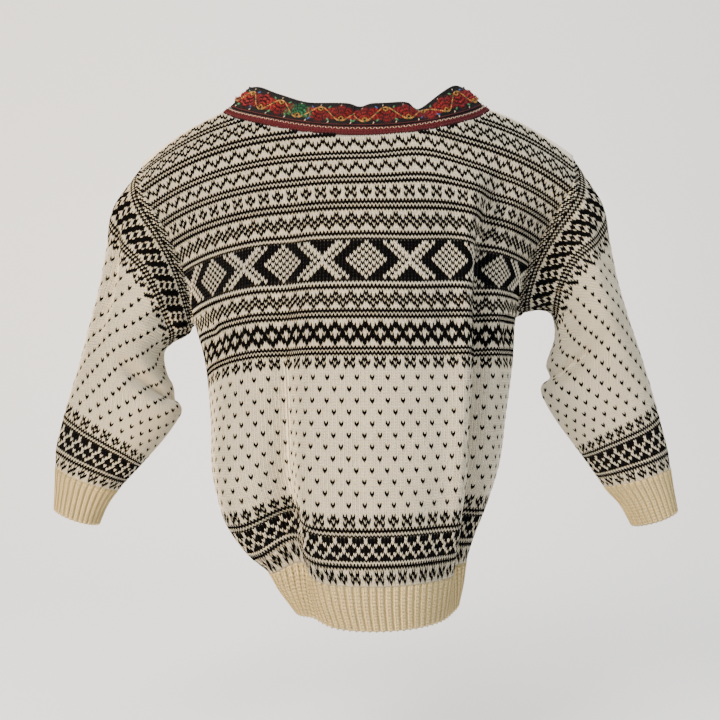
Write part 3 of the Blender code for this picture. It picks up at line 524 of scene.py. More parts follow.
def grid_normals(points, wrap=False):
    """Unit normals of a grid of points."""
    along = np.gradient(points, axis=0)
    if wrap:
        padded = np.concatenate([points[:, -2:-1], points, points[:, 1:2]], axis=1)
        across = np.gradient(padded, axis=1)[:, 1:-1]
    else:
        across = np.gradient(points, axis=1)
    normal = np.cross(across, along)
    return normal / np.maximum(np.linalg.norm(normal, axis=2, keepdims=True), 1e-9)


def fold_depth(folds, heights, across, scale, period=None):
    """Depth of all the folds over a grid; across is scaled to millimetres."""
    depth = np.zeros((len(heights), len(across)))
    h = heights[:, None]
    reach = scale[:, None]
    for width, path in folds.values():
        strongest = np.zeros_like(depth)
        for (h0, a0, d0), (h1, a1, d1) in zip(path[:-1], path[1:]):
            run = h1 - h0
            side = (a1 - a0) * reach
            offset = across[None, :] - a0
            if period:
                offset = (offset + period / 2) % period - period / 2
            offset = offset * reach
            t = np.clip(((h - h0) * run + offset * side) / (run**2 + side**2), 0, 1)
            gap = np.hypot(h - h0 - t * run, offset - t * side)
            part = (d0 + (d1 - d0) * t) * np.exp(-(gap / width) ** 2)
            strongest = np.where(np.abs(part) > np.abs(strongest), part, strongest)
        depth += strongest
    return depth


def body_levels(front):
    """The numbers of every fine row of the back, or of the fronts."""
    heights = np.linspace(HEM_EDGE, SHOULDER, FINE_UP)
    level = smooth_table(BACK_LEVELS, LEVEL_COLUMNS, heights)
    level["up"] = heights
    if front:
        other = smooth_table(FRONT_LEVELS, FRONT_COLUMNS, heights)
        gap = np.where(heights > UNDERARM, np.maximum(other["armhole"], 0), 0)
        rise = np.clip((heights - UNDERARM) / ARMHOLE_RISE, 0, 1)
        fall = np.clip((SHOULDER - heights) / ARMHOLE_FALL, 0, 1)
        gap = gap * np.sin(rise * math.pi / 2) * np.sin(fall * math.pi / 2)
        for name in ("mid_x", "mid_y", "mid_z"):
            level[name] = other[name]
        level["left_y"] = level["left_y"] + gap
        level["right_y"] = level["right_y"] + gap
    return level


def body_surface(front):
    """The outer face of the back or the fronts as a fine grid, rows by stitches."""
    level = body_levels(front)
    column = {name: values[:, None] for name, values in level.items()}
    t = np.linspace(-1, 1, 2 * FINE_ACROSS - 1)[None, :]
    left = t < 0
    angle = np.radians(column["turn"])
    reach = np.sin(angle * np.abs(t)) / np.sin(angle)
    fall = ((1 - np.cos(angle * np.abs(t))) / (1 - np.cos(angle))) ** column["bevel"]
    x = column["mid_x"] + (np.where(left, column["left_x"], column["right_x"]) - column["mid_x"]) * reach
    y = column["mid_y"] + (np.where(left, column["left_y"], column["right_y"]) - column["mid_y"]) * fall
    points = np.stack([x, y, column["mid_z"] + 0 * t], axis=2)
    across = np.linspace(-1, 1, FINE_ACROSS)
    points = even_rows(points, across, level["spread"])
    half_width = row_lengths(points)[:, -1] / 2
    edge_z = np.where(across < 0, column["left_z"], column["right_z"])
    points[:, :, 2] += (edge_z - column["mid_z"]) * np.abs(across) ** SAG_POWER
    if not front:
        for up, place, width, lift in BACK_LIFTS.values():
            fade = np.exp(-((column["up"] - up) / LIFT_HEIGHT) ** 2)
            fade = fade * np.clip((SHOULDER - column["up"]) / LIFT_STOP, 0, 1)
            points[:, :, 2] += lift * fade * np.exp(-((across - place) / width) ** 2)
    outward = grid_normals(points) * (-1 if front else 1)
    folds = FRONT_FOLDS if front else BACK_FOLDS
    edge_fade = np.clip((1 - np.abs(across)) / EDGE_FADE, 0, 1)[None, :]
    depth = fold_depth(folds, level["up"], across, half_width) * edge_fade
    points = points - outward * depth[:, :, None]
    return even_rows(points, across, level["spread"] * 0)


class Surface:
    """A fine grid of points that can be read at any place."""

    def __init__(self, rows, columns, points):
        self.rows, self.columns, self.points = rows, columns, points

    def at(self, row, column):
        r = np.interp(row, self.rows, np.arange(len(self.rows)))
        c = np.interp(column, self.columns, np.arange(len(self.columns)))
        r0 = np.minimum(r.astype(int), len(self.rows) - 2)
        c0 = np.minimum(c.astype(int), len(self.columns) - 2)
        fr, fc = (r - r0)[..., None], (c - c0)[..., None]
        p = self.points
        return ((p[r0, c0] * (1 - fc) + p[r0, c0 + 1] * fc) * (1 - fr)
                + (p[r0 + 1, c0] * (1 - fc) + p[r0 + 1, c0 + 1] * fc) * fr)


def even_loop(back_part, front_part, count):
    """A closed ring from its back half and its front half, each evenly divided."""
    result = []
    for part in (back_part, front_part):
        length = row_lengths(part[None])[0]
        target = np.linspace(0, length[-1], count // 2 + 1)
        result.append(np.stack([np.interp(target, length, part[:, k]) for k in range(3)], axis=1))
    return np.concatenate([result[0], result[1][1:]])


def sleeve_surface(table, folds, back, front, side):
    """The outer face of a sleeve: rings from the armhole to the edge of the cuff."""
    heights = np.linspace(UNDERARM, SHOULDER, FINE_ARMHOLE)
    edge = np.full_like(heights, side)
    armhole = even_loop(back.at(heights, edge), front.at(heights, edge)[::-1], FINE_ROUND - 1)
    rings = [armhole]
    downs = [0.0]
    angle = np.linspace(0, 2 * math.pi, 2 * HALF_TURN + 1)
    for row in table.values():
        ring = dict(zip(SLEEVE_COLUMNS, row))
        middle = np.array([ring["outer_x"] + ring["inner_x"], 2 * ring["mid_y"],
                           ring["outer_z"] + ring["inner_z"]]) / 2
        inward = np.array([ring["inner_x"] - ring["outer_x"], 0,
                           ring["inner_z"] - ring["outer_z"]]) / 2
        points = (middle + np.cos(angle)[:, None] * inward
                  - np.sin(angle)[:, None] * np.array([0, ring["half_y"], 0]))
        rings.append(even_loop(points[:HALF_TURN + 1], points[HALF_TURN:], FINE_ROUND - 1))
        downs.append(ring["down"])
    stacked = {k: (down, *ring.ravel()) for k, (down, ring) in enumerate(zip(downs, rings))}
    fine = np.linspace(0, CUFF_EDGE, FINE_DOWN)
    table_values = smooth_table(stacked, range(1 + 3 * FINE_ROUND), fine)
    points = np.stack([table_values[k] for k in range(1, 1 + 3 * FINE_ROUND)], axis=1)
    points = points.reshape(len(fine), FINE_ROUND, 3)
    round_it = np.linspace(0, 1, FINE_ROUND)
    girth = row_lengths(points)[:, -1]
    outward = grid_normals(points, wrap=True) * (-1 if side > 0 else 1)
    depth = fold_depth(folds, fine, round_it, girth, period=1.0)
    depth *= np.clip(fine / SLEEVE_FADE, 0, 1)[:, None]
    return Surface(fine, round_it, points - outward * depth[:, :, None])


def neckline(place):
    """Height of the back's neck edge at a place across."""
    share = np.clip(np.abs(place) / NECK_POINT, 0, 1)
    return SHOULDER - BACK_NECK_DROP * (1 - share**BACK_NECK_SHAPE[0]) ** BACK_NECK_SHAPE[1]


def front_neckline(place):
    """Height of the fronts' neck edge at a place across."""
    share = np.clip(np.abs(place) / NECK_POINT, 0, 1)
    return SHOULDER - FRONT_NECK_DROP * (1 - share**FRONT_NECK_SHAPE[0]) ** FRONT_NECK_SHAPE[1]


def ring_places(ring):
    """Place of each point of the neck ring: 0 behind, -0.5 and 0.5 at the front."""
    length = row_lengths(ring[None])[0]
    behind = np.interp(0.0, ring[len(ring) // 2 - 1:len(ring) // 2 + 2, 0],
                       length[len(ring) // 2 - 1:len(ring) // 2 + 2])
    return np.where(length < behind, (length - behind) / behind / 2,
                    (length - behind) / (length[-1] - behind) / 2)


def trim_points(ring, places, heights):
    """Points of the standing neck trim at the given heights above the neck edge."""
    middle = np.array([ring[:, 0].mean(), 0.0])
    inward = middle - ring[:, :2]
    inward /= np.linalg.norm(inward, axis=1, keepdims=True)
    lean = np.radians(np.interp(np.abs(places), LEAN_PLACES, LEAN_ANGLES))
    rows = []
    full = NECK_BRAID_HEIGHT + NECK_RIBBON_HEIGHT
    for height in heights:
        share = max(0.0, (height - NECK_BRAID_HEIGHT) / (full - NECK_BRAID_HEIGHT))
        row = ring.copy()
        row[:, :2] += inward * (height * np.sin(lean))[:, None]
        row[:, 2] += height * np.cos(lean)
        for place, reach, rise, tip in NECK_WAVES.values():
            wave = np.exp(-((places - place) / reach) ** 2) * share
            row[:, 2] += rise * wave
            row[:, :2] += inward * (tip * wave)[:, None]
        rows.append(row)
    return np.array(rows)


def frame_on(surface, height, place, clearance):
    """A placing frame on the outside of the front: across, up and outward."""
    here = surface.at(np.array([height]), np.array([place]))[0]
    beside = surface.at(np.array([height]), np.array([place + 0.01]))[0]
    above = surface.at(np.array([height + 2.0]), np.array([place]))[0]
    across = (beside - here) / np.linalg.norm(beside - here)
    outward = np.cross(above - here, across)
    outward /= np.linalg.norm(outward)
    up = np.cross(across, outward)
    return here + outward * clearance, -across, up, outward


def rib_height(height):
    return RIB_RAISE if height < 0 else 0.0


SKINS = {}
SHAPES = {}


class Skin:
    """The cloth's outer face with its outward normals, read at any row and column."""

    def __init__(self, rows, columns, points, outward):
        self.rows, self.columns = rows, columns
        self.face = Surface(rows, columns, points)
        self.outward = Surface(rows, columns, outward)
        self.even = None

    def held(self, row, column):
        row, column = np.broadcast_arrays(np.asarray(row, float), np.asarray(column, float))
        return (np.clip(row, self.rows[0], self.rows[-1]),
                np.clip(column, self.columns[0], self.columns[-1]))

    def normal(self, row, column):
        return unit(self.outward.at(*self.held(row, column)))

    def at(self, row, column, lift=0.0):
        row, column = self.held(row, column)
        return self.face.at(row, column) + self.normal(row, column) * np.asarray(lift, float)[..., None]

    def lay_evenly(self, last):
        """Lay the rows down to a last one evenly on the cloth at every place."""
        steps = np.linalg.norm(np.diff(self.face.points, axis=0), axis=-1)
        length = np.concatenate([0 * steps[:1], np.cumsum(steps, axis=0)])
        held = self.rows <= last
        even = np.tile(self.rows[:, None], (1, len(self.columns))).astype(float)
        for column, run in enumerate(length.T):
            whole = np.interp(last, self.rows, run)
            even[held, column] = np.interp(self.rows[held] / last * whole, run, self.rows)
        self.even = Surface(self.rows, self.columns, even[..., None])

    def laid(self, row, column):
        """Where a knitted row lies on the cloth."""
        return row if self.even is None else self.even.at(*self.held(row, column))[..., 0]


def unit(vectors):
    return vectors / np.maximum(np.linalg.norm(vectors, axis=-1, keepdims=True), 1e-9)


def make_skins():
    """Every face of the garment that is knitted, or that a trim stands on."""
    rows = np.linspace(HEM_EDGE, SHOULDER, FINE_UP)
    across = np.linspace(-1, 1, FINE_ACROSS)
    back = Surface(rows, across, body_surface(front=False))
    front = Surface(rows, across, body_surface(front=True))
    skins = {"back": Skin(rows, across, back.points, grid_normals(back.points)),
             "front": Skin(rows, across, front.points, -grid_normals(front.points))}
    for side, sign, table, folds in (("left", -1.0, LEFT_SLEEVE, LEFT_SLEEVE_FOLDS),
                                     ("right", 1.0, RIGHT_SLEEVE, RIGHT_SLEEVE_FOLDS)):
        sleeve = sleeve_surface(table, folds, back, front, sign)
        outward = grid_normals(sleeve.points, wrap=True) * -sign
        skins[side] = Skin(sleeve.rows, sleeve.columns, sleeve.points, outward)
        skins[side].lay_evenly(CUFF_TOP)
    places = np.linspace(FRONT_CENTRE, NECK_POINT, TRIM_BESIDE)
    behind = np.linspace(-NECK_POINT, NECK_POINT, TRIM_BEHIND)[1:-1]
    ring = np.concatenate([front.at(front_neckline(places), -places),
                           back.at(neckline(behind), behind),
                           front.at(front_neckline(places), places)[::-1]])
    heights = np.linspace(0, NECK_BRAID_HEIGHT + NECK_RIBBON_HEIGHT, TRIM_UP)
    trim = trim_points(ring, ring_places(ring), heights)
    skins["trim"] = Skin(heights, ring_places(ring), trim, grid_normals(trim))
    return skins


def skin(name):
    """A face of the garment, worked out when it is first asked for."""
    if not SKINS:
        SKINS.update(make_skins())
    return SKINS[name]


# Meshes

def mesh_piece(name, points, faces, material=None, uv=None):
    """A smooth piece from points in millimetres and faces, with one UV for each point."""
    mesh = bpy.data.meshes.new(name)
    mesh.from_pydata((np.asarray(points, float) * MM).tolist(), [], faces)
    mesh.shade_smooth()
    if uv is not None:
        corners = np.empty(len(mesh.loops), int)
        mesh.loops.foreach_get("vertex_index", corners)
        layer = mesh.uv_layers.new(name="cloth")
        layer.uv.foreach_set("vector", np.asarray(uv, float)[corners].ravel())
    if material:
        mesh.materials.append(material)
    piece = bpy.data.objects.new(name, mesh)
    bpy.context.scene.collection.objects.link(piece)
    return piece


def shell(name, outer, inner, material, wrap=False, flip=False, uv=None):
    """A closed thin wall between two grids of points."""
    rows, columns = outer.shape[:2]
    count = rows * columns
    ids = np.arange(count).reshape(rows, columns)
    if wrap:
        ids = np.concatenate([ids, ids[:, :1]], axis=1)
    a, b, c, d = ids[:-1, :-1], ids[:-1, 1:], ids[1:, 1:], ids[1:, :-1]
    quads = [np.stack([a, b, c, d], axis=-1).reshape(-1, 4),
             np.stack([a, d, c, b], axis=-1).reshape(-1, 4) + count]
    edges = [(ids[0], False), (ids[-1], True)]
    if not wrap:
        edges += [(ids[:, 0], True), (ids[:, -1], False)]
    for edge, turned in edges:
        rim = np.stack([edge[:-1], edge[:-1] + count, edge[1:] + count, edge[1:]], axis=-1)
        quads.append(rim[:, ::-1] if turned else rim)
    faces = np.concatenate(quads)
    if flip:
        faces = faces[:, ::-1]
    points = np.concatenate([outer.reshape(-1, 3), inner.reshape(-1, 3)])
    uvs = None if uv is None else np.concatenate([uv.reshape(-1, 2)] * 2)
    return mesh_piece(name, points, faces.tolist(), material, uvs)


def drawn_in(grid, wrap):
    """Draw a grid's open edges in by half a seam gap."""
    drawn = grid.copy()
    for edge, inner in ((0, 1), (-1, -2)):
        drawn[edge] += unit(grid[inner] - grid[edge]) * SEAM_GAP / 2
        if not wrap:
            drawn[:, edge] += unit(grid[:, inner] - grid[:, edge]) * SEAM_GAP / 2
    return drawn


def stitch_shape():
    """A knitted stitch one unit wide, high and thick: a V of two plump legs."""
    points, faces, uv = [], [], []
    for sign in (1, -1):
        start = len(points)
        points += [(x * sign, y, z) for x, y, z in STITCH_LEG.values()]
        uv += [(0.5, 0.0), (0.0, 0.5), (1.0, 0.5), (0.5, 1.0)]
        # The two slopes of the leg, then its two sides that the cloth hides
        for face in ((0, 2, 3), (0, 3, 1), (0, 1, 2), (1, 3, 2)):
            corners = [start + k for k in face]
            faces.append(corners if sign > 0 else corners[::-1])
    return mesh_piece("stitch", np.array(points) / MM, faces, uv=uv)


def pad_shape(name, rows, columns, width):
    """A plump stitch of thread one unit long: its outline from a width along it."""
    points, faces, uv = [], [], []
    for r in range(rows + 1):
        along = r / rows
        for c in range(columns + 1):
            across = 2 * c / columns - 1
            inside = 0 < r < rows and abs(across) < 1
            rise = (1 - across**2) ** 0.5 if inside else THREAD_FOOT
            points.append((across * width(along) / 2, along, rise))
            uv.append(((across + 1) / 2, along))
    wide = columns + 1
    for r in range(rows):
        for c in range(columns):
            a = r * wide + c
            faces.append((a, a + 1, a + wide + 1, a + wide))
    border = (list(range(wide)) + [r * wide + columns for r in range(1, rows + 1)]
              + list(range(rows * wide + columns - 1, rows * wide - 1, -1))
              + [r * wide for r in range(rows - 1, 0, -1)])
    faces.append(border[::-1])
    return mesh_piece(name, np.array(points) / MM, faces, uv=uv)


def shape(name):
    """The small shapes that the node trees repeat, made once each."""
    makers = {
        "stitch": stitch_shape,
        "thread": lambda: pad_shape("thread", 2, 2, lambda t: 0.35 + 0.65 * math.sin(math.pi * t)),
        "leaf": lambda: pad_shape("leaf", 5, 2, lambda t: 0.04 + 0.96 * math.sin(math.pi * t)),
        "speck": lambda: pad_shape("speck", 2, 2, lambda t: 1.0 - 0.9 * t),
    }
    if name not in SHAPES:
        SHAPES[name] = makers[name]()
    return SHAPES[name]


# Geometry node trees

def start_tree(name, inputs):
    tree = bpy.data.node_groups.new(name, "GeometryNodeTree")
    tree.interface.new_socket("Geometry", in_out="INPUT", socket_type="NodeSocketGeometry")
    for label, kind, default in inputs:
        socket = tree.interface.new_socket(label, in_out="INPUT", socket_type=kind)
        if default is not None:
            socket.default_value = default
    tree.interface.new_socket("Geometry", in_out="OUTPUT", socket_type="NodeSocketGeometry")
    return tree, tree.nodes.new("NodeGroupInput"), tree.nodes.new("NodeGroupOutput")


def finish_tree(tree, given, result, geometry):
    """Realize the copies and give them their material."""
    realize = tree.nodes.new("GeometryNodeRealizeInstances")
    paint = tree.nodes.new("GeometryNodeSetMaterial")
    tree.links.new(geometry, realize.inputs["Geometry"])
    tree.links.new(realize.outputs["Geometry"], paint.inputs["Geometry"])
    tree.links.new(given.outputs["Material"], paint.inputs["Material"])
    tree.links.new(paint.outputs["Geometry"], result.inputs["Geometry"])


def stitching_tree():
    """Sets a small shape on every point, turned and sized by what the point carries."""
    if "stitching" in bpy.data.node_groups:
        return bpy.data.node_groups["stitching"]
    tree, given, result = start_tree("stitching", (
        ("Shape", "NodeSocketObject", None),
        ("Fullness", "NodeSocketFloat", 1.0),
        ("Overlap", "NodeSocketFloat", 1.0),
        ("Thickness", "NodeSocketFloat", 1.0),
        ("Material", "NodeSocketMaterial", None)))
    link = tree.links.new

    def carried(name):
        node = tree.nodes.new("GeometryNodeInputNamedAttribute")
        node.data_type = "FLOAT_VECTOR"
        node.inputs["Name"].default_value = name
        return node.outputs["Attribute"]

    info = tree.nodes.new("GeometryNodeObjectInfo")
    turn = tree.nodes.new("FunctionNodeAxesToRotation")
    turn.primary_axis = "Z"
    turn.secondary_axis = "Y"
    share = tree.nodes.new("ShaderNodeCombineXYZ")
    size = tree.nodes.new("ShaderNodeVectorMath")
    size.operation = "MULTIPLY"
    place = tree.nodes.new("GeometryNodeInstanceOnPoints")
    link(given.outputs["Shape"], info.inputs["Object"])
    link(carried("outward"), turn.inputs["Primary Axis"])
    link(carried("upward"), turn.inputs["Secondary Axis"])
    for axis, label in (("X", "Fullness"), ("Y", "Overlap"), ("Z", "Thickness")):
        link(given.outputs[label], share.inputs[axis])
    link(share.outputs[0], size.inputs[0])
    link(carried("cell"), size.inputs[1])
    link(given.outputs["Geometry"], place.inputs["Points"])
    link(info.outputs["Geometry"], place.inputs["Instance"])
    link(turn.outputs["Rotation"], place.inputs["Rotation"])
    link(size.outputs[0], place.inputs["Scale"])
    finish_tree(tree, given, result, place.outputs["Instances"])
    return tree


def stitched(name, small, points, outward, upward, cell, material, colours=None,
             fullness=1.0, overlap=1.0, thickness=1.0):
    """Small shapes on points. A cell is a shape's width, height and thickness."""
    mesh = bpy.data.meshes.new(name)
    mesh.from_pydata((points * MM).tolist(), [], [])
    carried = {"outward": outward, "upward": upward, "cell": cell * MM}
    for label, values in carried.items():
        layer = mesh.attributes.new(label, "FLOAT_VECTOR", "POINT")
        layer.data.foreach_set("vector", np.ascontiguousarray(values, dtype=float).ravel())
    if colours is not None:
        layer = mesh.attributes.new("thread", "FLOAT_COLOR", "POINT")
        layer.data.foreach_set("color", np.ascontiguousarray(colours, dtype=float).ravel())
    source = bpy.data.objects.new(name + "_points", mesh)
    bpy.context.scene.collection.objects.link(source)
    tree = stitching_tree()
    modifier = source.modifiers.new("stitching", "NODES")
    modifier.node_group = tree
    values = {"Shape": shape(small), "Fullness": fullness, "Overlap": overlap,
              "Thickness": thickness, "Material": material}
    for item in tree.interface.items_tree:
        if item.in_out == "INPUT" and item.name in values:
            modifier[item.identifier] = values[item.name]
    graph = bpy.context.evaluated_depsgraph_get()
    result = bpy.data.meshes.new_from_object(source.evaluated_get(graph), depsgraph=graph)
    result.name = name
    for label in carried:
        if label in result.attributes:
            result.attributes.remove(result.attributes[label])
    bpy.data.objects.remove(source, do_unlink=True)
    piece = bpy.data.objects.new(name, result)
    bpy.context.scene.collection.objects.link(piece)
    return piece


# Charts

def filled(bands):
    """The bands, with plain stitches in every space between two of them."""
    result = []
    for band in bands:
        if result and result[-1][-1] != band[1]:
            result.append(("plain", result[-1][-1], band[1]))
        result.append(band)
    return result


def chart_rows(bands):
    """Every row of the bands: its place, its height, its stitches and which yarn stands out."""
    rows = []
    for name, start, end in filled(bands):
        if name == "lice":
            stitches = [lice_row(r) for r in range(round(abs(end - start) / BODY_ROW))]
        elif name == "broad band":
            stitches = [broad_band_row(r) for r in range(-BAND_HALF, BAND_HALF + 1)]
        else:
            stitches = CHARTS[name]
        step = (end - start) / len(stitches)
        rows += [(start + (r + 0.5) * step, step, text, name in LIGHT_ON_TOP)
                 for r, text in enumerate(stitches)]
    return rows


def lice_row(row):
    """Single dark stitches four apart, every fourth row, each line shifted by two."""
    line, inside = divmod(row, LICE_ROWS)
    if inside < LICE_ROWS - 1:
        return "."
    return "..#." if line % 2 else "#..."


def broad_band_row(row):
    """A row of the broad band: checked diamonds and checked crosses on a dark ground."""
    text = ""
    for column in range(BAND_REPEAT):
        i = (column + BAND_REPEAT // 2) % BAND_REPEAT - BAND_REPEAT // 2
        r, c = abs(row), abs(column - BAND_REPEAT // 2)
        diamond = abs(i) + r <= MOTIF_HALF and (i + row) % 2 == 1
        arm = c in (0, 2) if r == 0 else c in (r + 2, r, r - 1)
        text += "." if diamond or (r <= MOTIF_HALF and arm) else "#"
    return text


def bowed(bows, row, place):
    """How far the rows bow on the cloth."""
    rise = 0.0 * place
    for middle, across, reach, width, height in bows.values():
        rise = rise + height * np.exp(-((row - middle) / reach) ** 2 - ((place - across) / width) ** 2)
    return rise


def body_columns(first, last):
    """Stitches of a panel of the body, numbered from the middle."""
    number = np.arange(first, last + 1)
    return lambda row: (number, number / (BODY_STITCHES / 2), 2 / BODY_STITCHES)


def sleeve_columns(row):
    """Stitches round a sleeve, numbered from its outer edge; fewer towards the cuff."""
    count = np.interp(row, SLEEVE_COUNT_DOWN, SLEEVE_COUNT)
    half = int((count - 1) // 2)
    number = np.arange(-half, half + 1)
    return number, 0.5 + number / count, 1 / count


def knit_rows(cloth, bands, columns, bows, keep):
    """Places, directions and sizes of all the stitches of a panel, and which are dark."""
    parts = []
    for row, step, text, light_on_top in chart_rows(bands):
        number, place, width = columns(row)
        at = row + bowed(bows, row, place)
        marks = np.array([mark == "#" for mark in text])[number % len(text)]
        rows = np.stack([at, place, 0 * at + width, 0 * at + step, marks, marks != light_on_top])
        parts.append(rows[:, keep(at, place)])
    row, place, width, step, dark, proud = np.concatenate(parts, axis=1)
    above, below = (cloth.at(cloth.laid(row + part, place), place) for part in (step / 2, -step / 2))
    row = cloth.laid(row, place)
    beside = cloth.at(row, place + width / 2) - cloth.at(row, place - width / 2)
    cell = np.stack([np.linalg.norm(beside, axis=1), np.linalg.norm(above - below, axis=1),
                     np.ones(len(row))], axis=1)
    larger = np.where(dark[:, None] > 0.5, PROUD_DARK, PROUD_LIGHT)
    cell = np.where(proud[:, None] > 0.5, cell * larger, cell)
    return {"points": cloth.at(row, place, proud * PROUD_LIFT - STITCH_SINK),
            "outward": cloth.normal(row, place),
            "upward": unit(above - below), "cell": cell, "dark": dark > 0.5}


def row_tone(bands, rows):
    """How dark the cloth behind the stitches is, so that none shows through a dark ground."""
    chart = sorted((row, float(light_on_top or set(text) == {"#"}))
                   for row, _, text, light_on_top in chart_rows(bands))
    place, tone = np.array(chart).T
    return np.interp(rows, place, tone)


# Materials

def effect(name, inputs, outputs):
    """A new shader node group with named sockets."""
    tree = bpy.data.node_groups.new(name, "ShaderNodeTree")
    for label, kind, default in inputs:
        tree.interface.new_socket(label, in_out="INPUT", socket_type=kind).default_value = default
    for label, kind in outputs:
        tree.interface.new_socket(label, in_out="OUTPUT", socket_type=kind)
    return tree, tree.nodes.new("NodeGroupInput"), tree.nodes.new("NodeGroupOutput")


def math_node(tree, operation, first, second=None, third=None, clamp=False):
    node = tree.nodes.new("ShaderNodeMath")
    node.operation = operation
    node.use_clamp = clamp
    for socket, value in zip(node.inputs, (first, second, third)):
        if isinstance(value, (int, float)):
            socket.default_value = value
        elif value is not None:
            tree.links.new(value, socket)
    return node.outputs[0]


def fuzz_effect():
    """Loose fibres and uneven dye: a colour that wanders, and a height for the bump."""
    if "loose_fibres" in bpy.data.node_groups:
        return bpy.data.node_groups["loose_fibres"]
    tree, given, result = effect("loose_fibres", (
        ("Colour", "NodeSocketColor", (0.5, 0.5, 0.5, 1)),
        ("Shadow", "NodeSocketColor", (0.2, 0.2, 0.2, 1)),
        ("Wander", "NodeSocketFloat", 0.3),
        ("Fibre Scale", "NodeSocketFloat", 1100.0)),
        (("Colour", "NodeSocketColor"), ("Height", "NodeSocketFloat")))
    link = tree.links.new
    where = tree.nodes.new("ShaderNodeTexCoord")
    patches = tree.nodes.new("ShaderNodeTexNoise")
    patches.inputs["Scale"].default_value = 38.0
    patches.inputs["Detail"].default_value = 3.0
    fibres = tree.nodes.new("ShaderNodeTexNoise")
    fibres.inputs["Detail"].default_value = 4.0
    fibres.inputs["Distortion"].default_value = 0.8
    mix = tree.nodes.new("ShaderNodeMix")
    mix.data_type = "RGBA"
    link(where.outputs["Object"], patches.inputs["Vector"])
    link(where.outputs["Object"], fibres.inputs["Vector"])
    link(given.outputs["Fibre Scale"], fibres.inputs["Scale"])
    both = math_node(tree, "MULTIPLY", patches.outputs["Fac"], fibres.outputs["Fac"])
    amount = math_node(tree, "MULTIPLY", both, given.outputs["Wander"], clamp=True)
    link(amount, mix.inputs["Factor"])
    link(given.outputs["Colour"], mix.inputs[6])
    link(given.outputs["Shadow"], mix.inputs[7])
    link(mix.outputs[2], result.inputs["Colour"])
    link(fibres.outputs["Fac"], result.inputs["Height"])
    return tree


def twist_effect():
    """The twist of a yarn, or the rows of a weave: ridges along the piece's UV map."""
    if "yarn_twist" in bpy.data.node_groups:
        return bpy.data.node_groups["yarn_twist"]
    tree, given, result = effect("yarn_twist", (
        ("Turns", "NodeSocketFloat", 3.0),
        ("Slant", "NodeSocketFloat", 1.2)),
        (("Height", "NodeSocketFloat"),))
    where = tree.nodes.new("ShaderNodeUVMap")
    where.uv_map = "cloth"
    split = tree.nodes.new("ShaderNodeSeparateXYZ")
    tree.links.new(where.outputs["UV"], split.inputs[0])
    across = math_node(tree, "MULTIPLY", split.outputs["X"], given.outputs["Slant"])
    along = math_node(tree, "MULTIPLY_ADD", split.outputs["Y"], given.outputs["Turns"], across)
    tree.links.new(math_node(tree, "PINGPONG", along, 0.5), result.inputs["Height"])
    return tree


def placed_effect(tree, group, **values):
    """Place an effect in a material with its own values."""
    node = tree.nodes.new("ShaderNodeGroup")
    node.node_tree = group
    for name, value in values.items():
        node.inputs[name.replace("_", " ")].default_value = value
    return node


def bump_chain(tree, shader, *layers):
    """Stack bumps, each a height, a strength and a depth in millimetres."""
    normal = None
    for height, strength, depth in layers:
        bump = tree.nodes.new("ShaderNodeBump")
        bump.inputs["Strength"].default_value = strength
        bump.inputs["Distance"].default_value = depth * MM
        tree.links.new(height, bump.inputs["Height"])
        if normal:
            tree.links.new(normal, bump.inputs["Normal"])
        normal = bump.outputs["Normal"]
    tree.links.new(normal, shader.inputs["Normal"])


def bare_material(name, roughness, sheen=0.0, metallic=0.0, specular=0.25):
    material = bpy.data.materials.new(name)
    material.use_nodes = True
    shader = material.node_tree.nodes["Principled BSDF"]
    shader.inputs["Roughness"].default_value = roughness
    shader.inputs["Metallic"].default_value = metallic
    shader.inputs["Specular IOR Level"].default_value = specular
    shader.inputs["Sheen Weight"].default_value = sheen
    shader.inputs["Sheen Roughness"].default_value = 0.55
    return material, material.node_tree, shader


def deeper(colour, share):
    return (*[value * share for value in colour], 1.0)


def yarn_material(name, colour, shadow, wander=0.9, sheen=0.12, turns=3.0, specular=0.2):
    """A spun thread: wandering colour, loose fibres and the twist of its plies."""
    material, tree, shader = bare_material(name, roughness=0.92, sheen=sheen, specular=specular)
    fuzz = placed_effect(tree, fuzz_effect(), Colour=(*colour, 1.0), Shadow=shadow, Wander=wander)
    twist = placed_effect(tree, twist_effect(), Turns=turns)
    tree.links.new(fuzz.outputs["Colour"], shader.inputs["Base Color"])
    bump_chain(tree, shader, (twist.outputs["Height"], 0.5, 0.5), (fuzz.outputs["Height"], 0.35, 0.4))
    return material


def cloth_material(name, light, dark):
    """The cloth behind the stitches, which also shows inside the garment, and the cloth of the ribs. Its
    tone darkens it to its dark colour: the dark yarn behind dark rows, and painted shade in the valleys of
    the ribs.
    """
    material, tree, shader = bare_material(name, roughness=0.95, sheen=0.15)
    tone = tree.nodes.new("ShaderNodeAttribute")
    tone.attribute_name = "tone"
    mix = tree.nodes.new("ShaderNodeMix")
    mix.data_type = "RGBA"
    mix.inputs[7].default_value = (*dark, 1.0)
    fuzz = placed_effect(tree, fuzz_effect(), Colour=(*light, 1.0), Shadow=deeper(light, 0.5), Wander=0.7)
    rows = placed_effect(tree, twist_effect(), Turns=1.0, Slant=0.0)
    tree.links.new(tone.outputs["Fac"], mix.inputs["Factor"])
    tree.links.new(fuzz.outputs["Colour"], mix.inputs[6])
    tree.links.new(mix.outputs[2], shader.inputs["Base Color"])
    bump_chain(tree, shader, (rows.outputs["Height"], 0.8, 1.2), (fuzz.outputs["Height"], 0.5, 0.6))
    return material


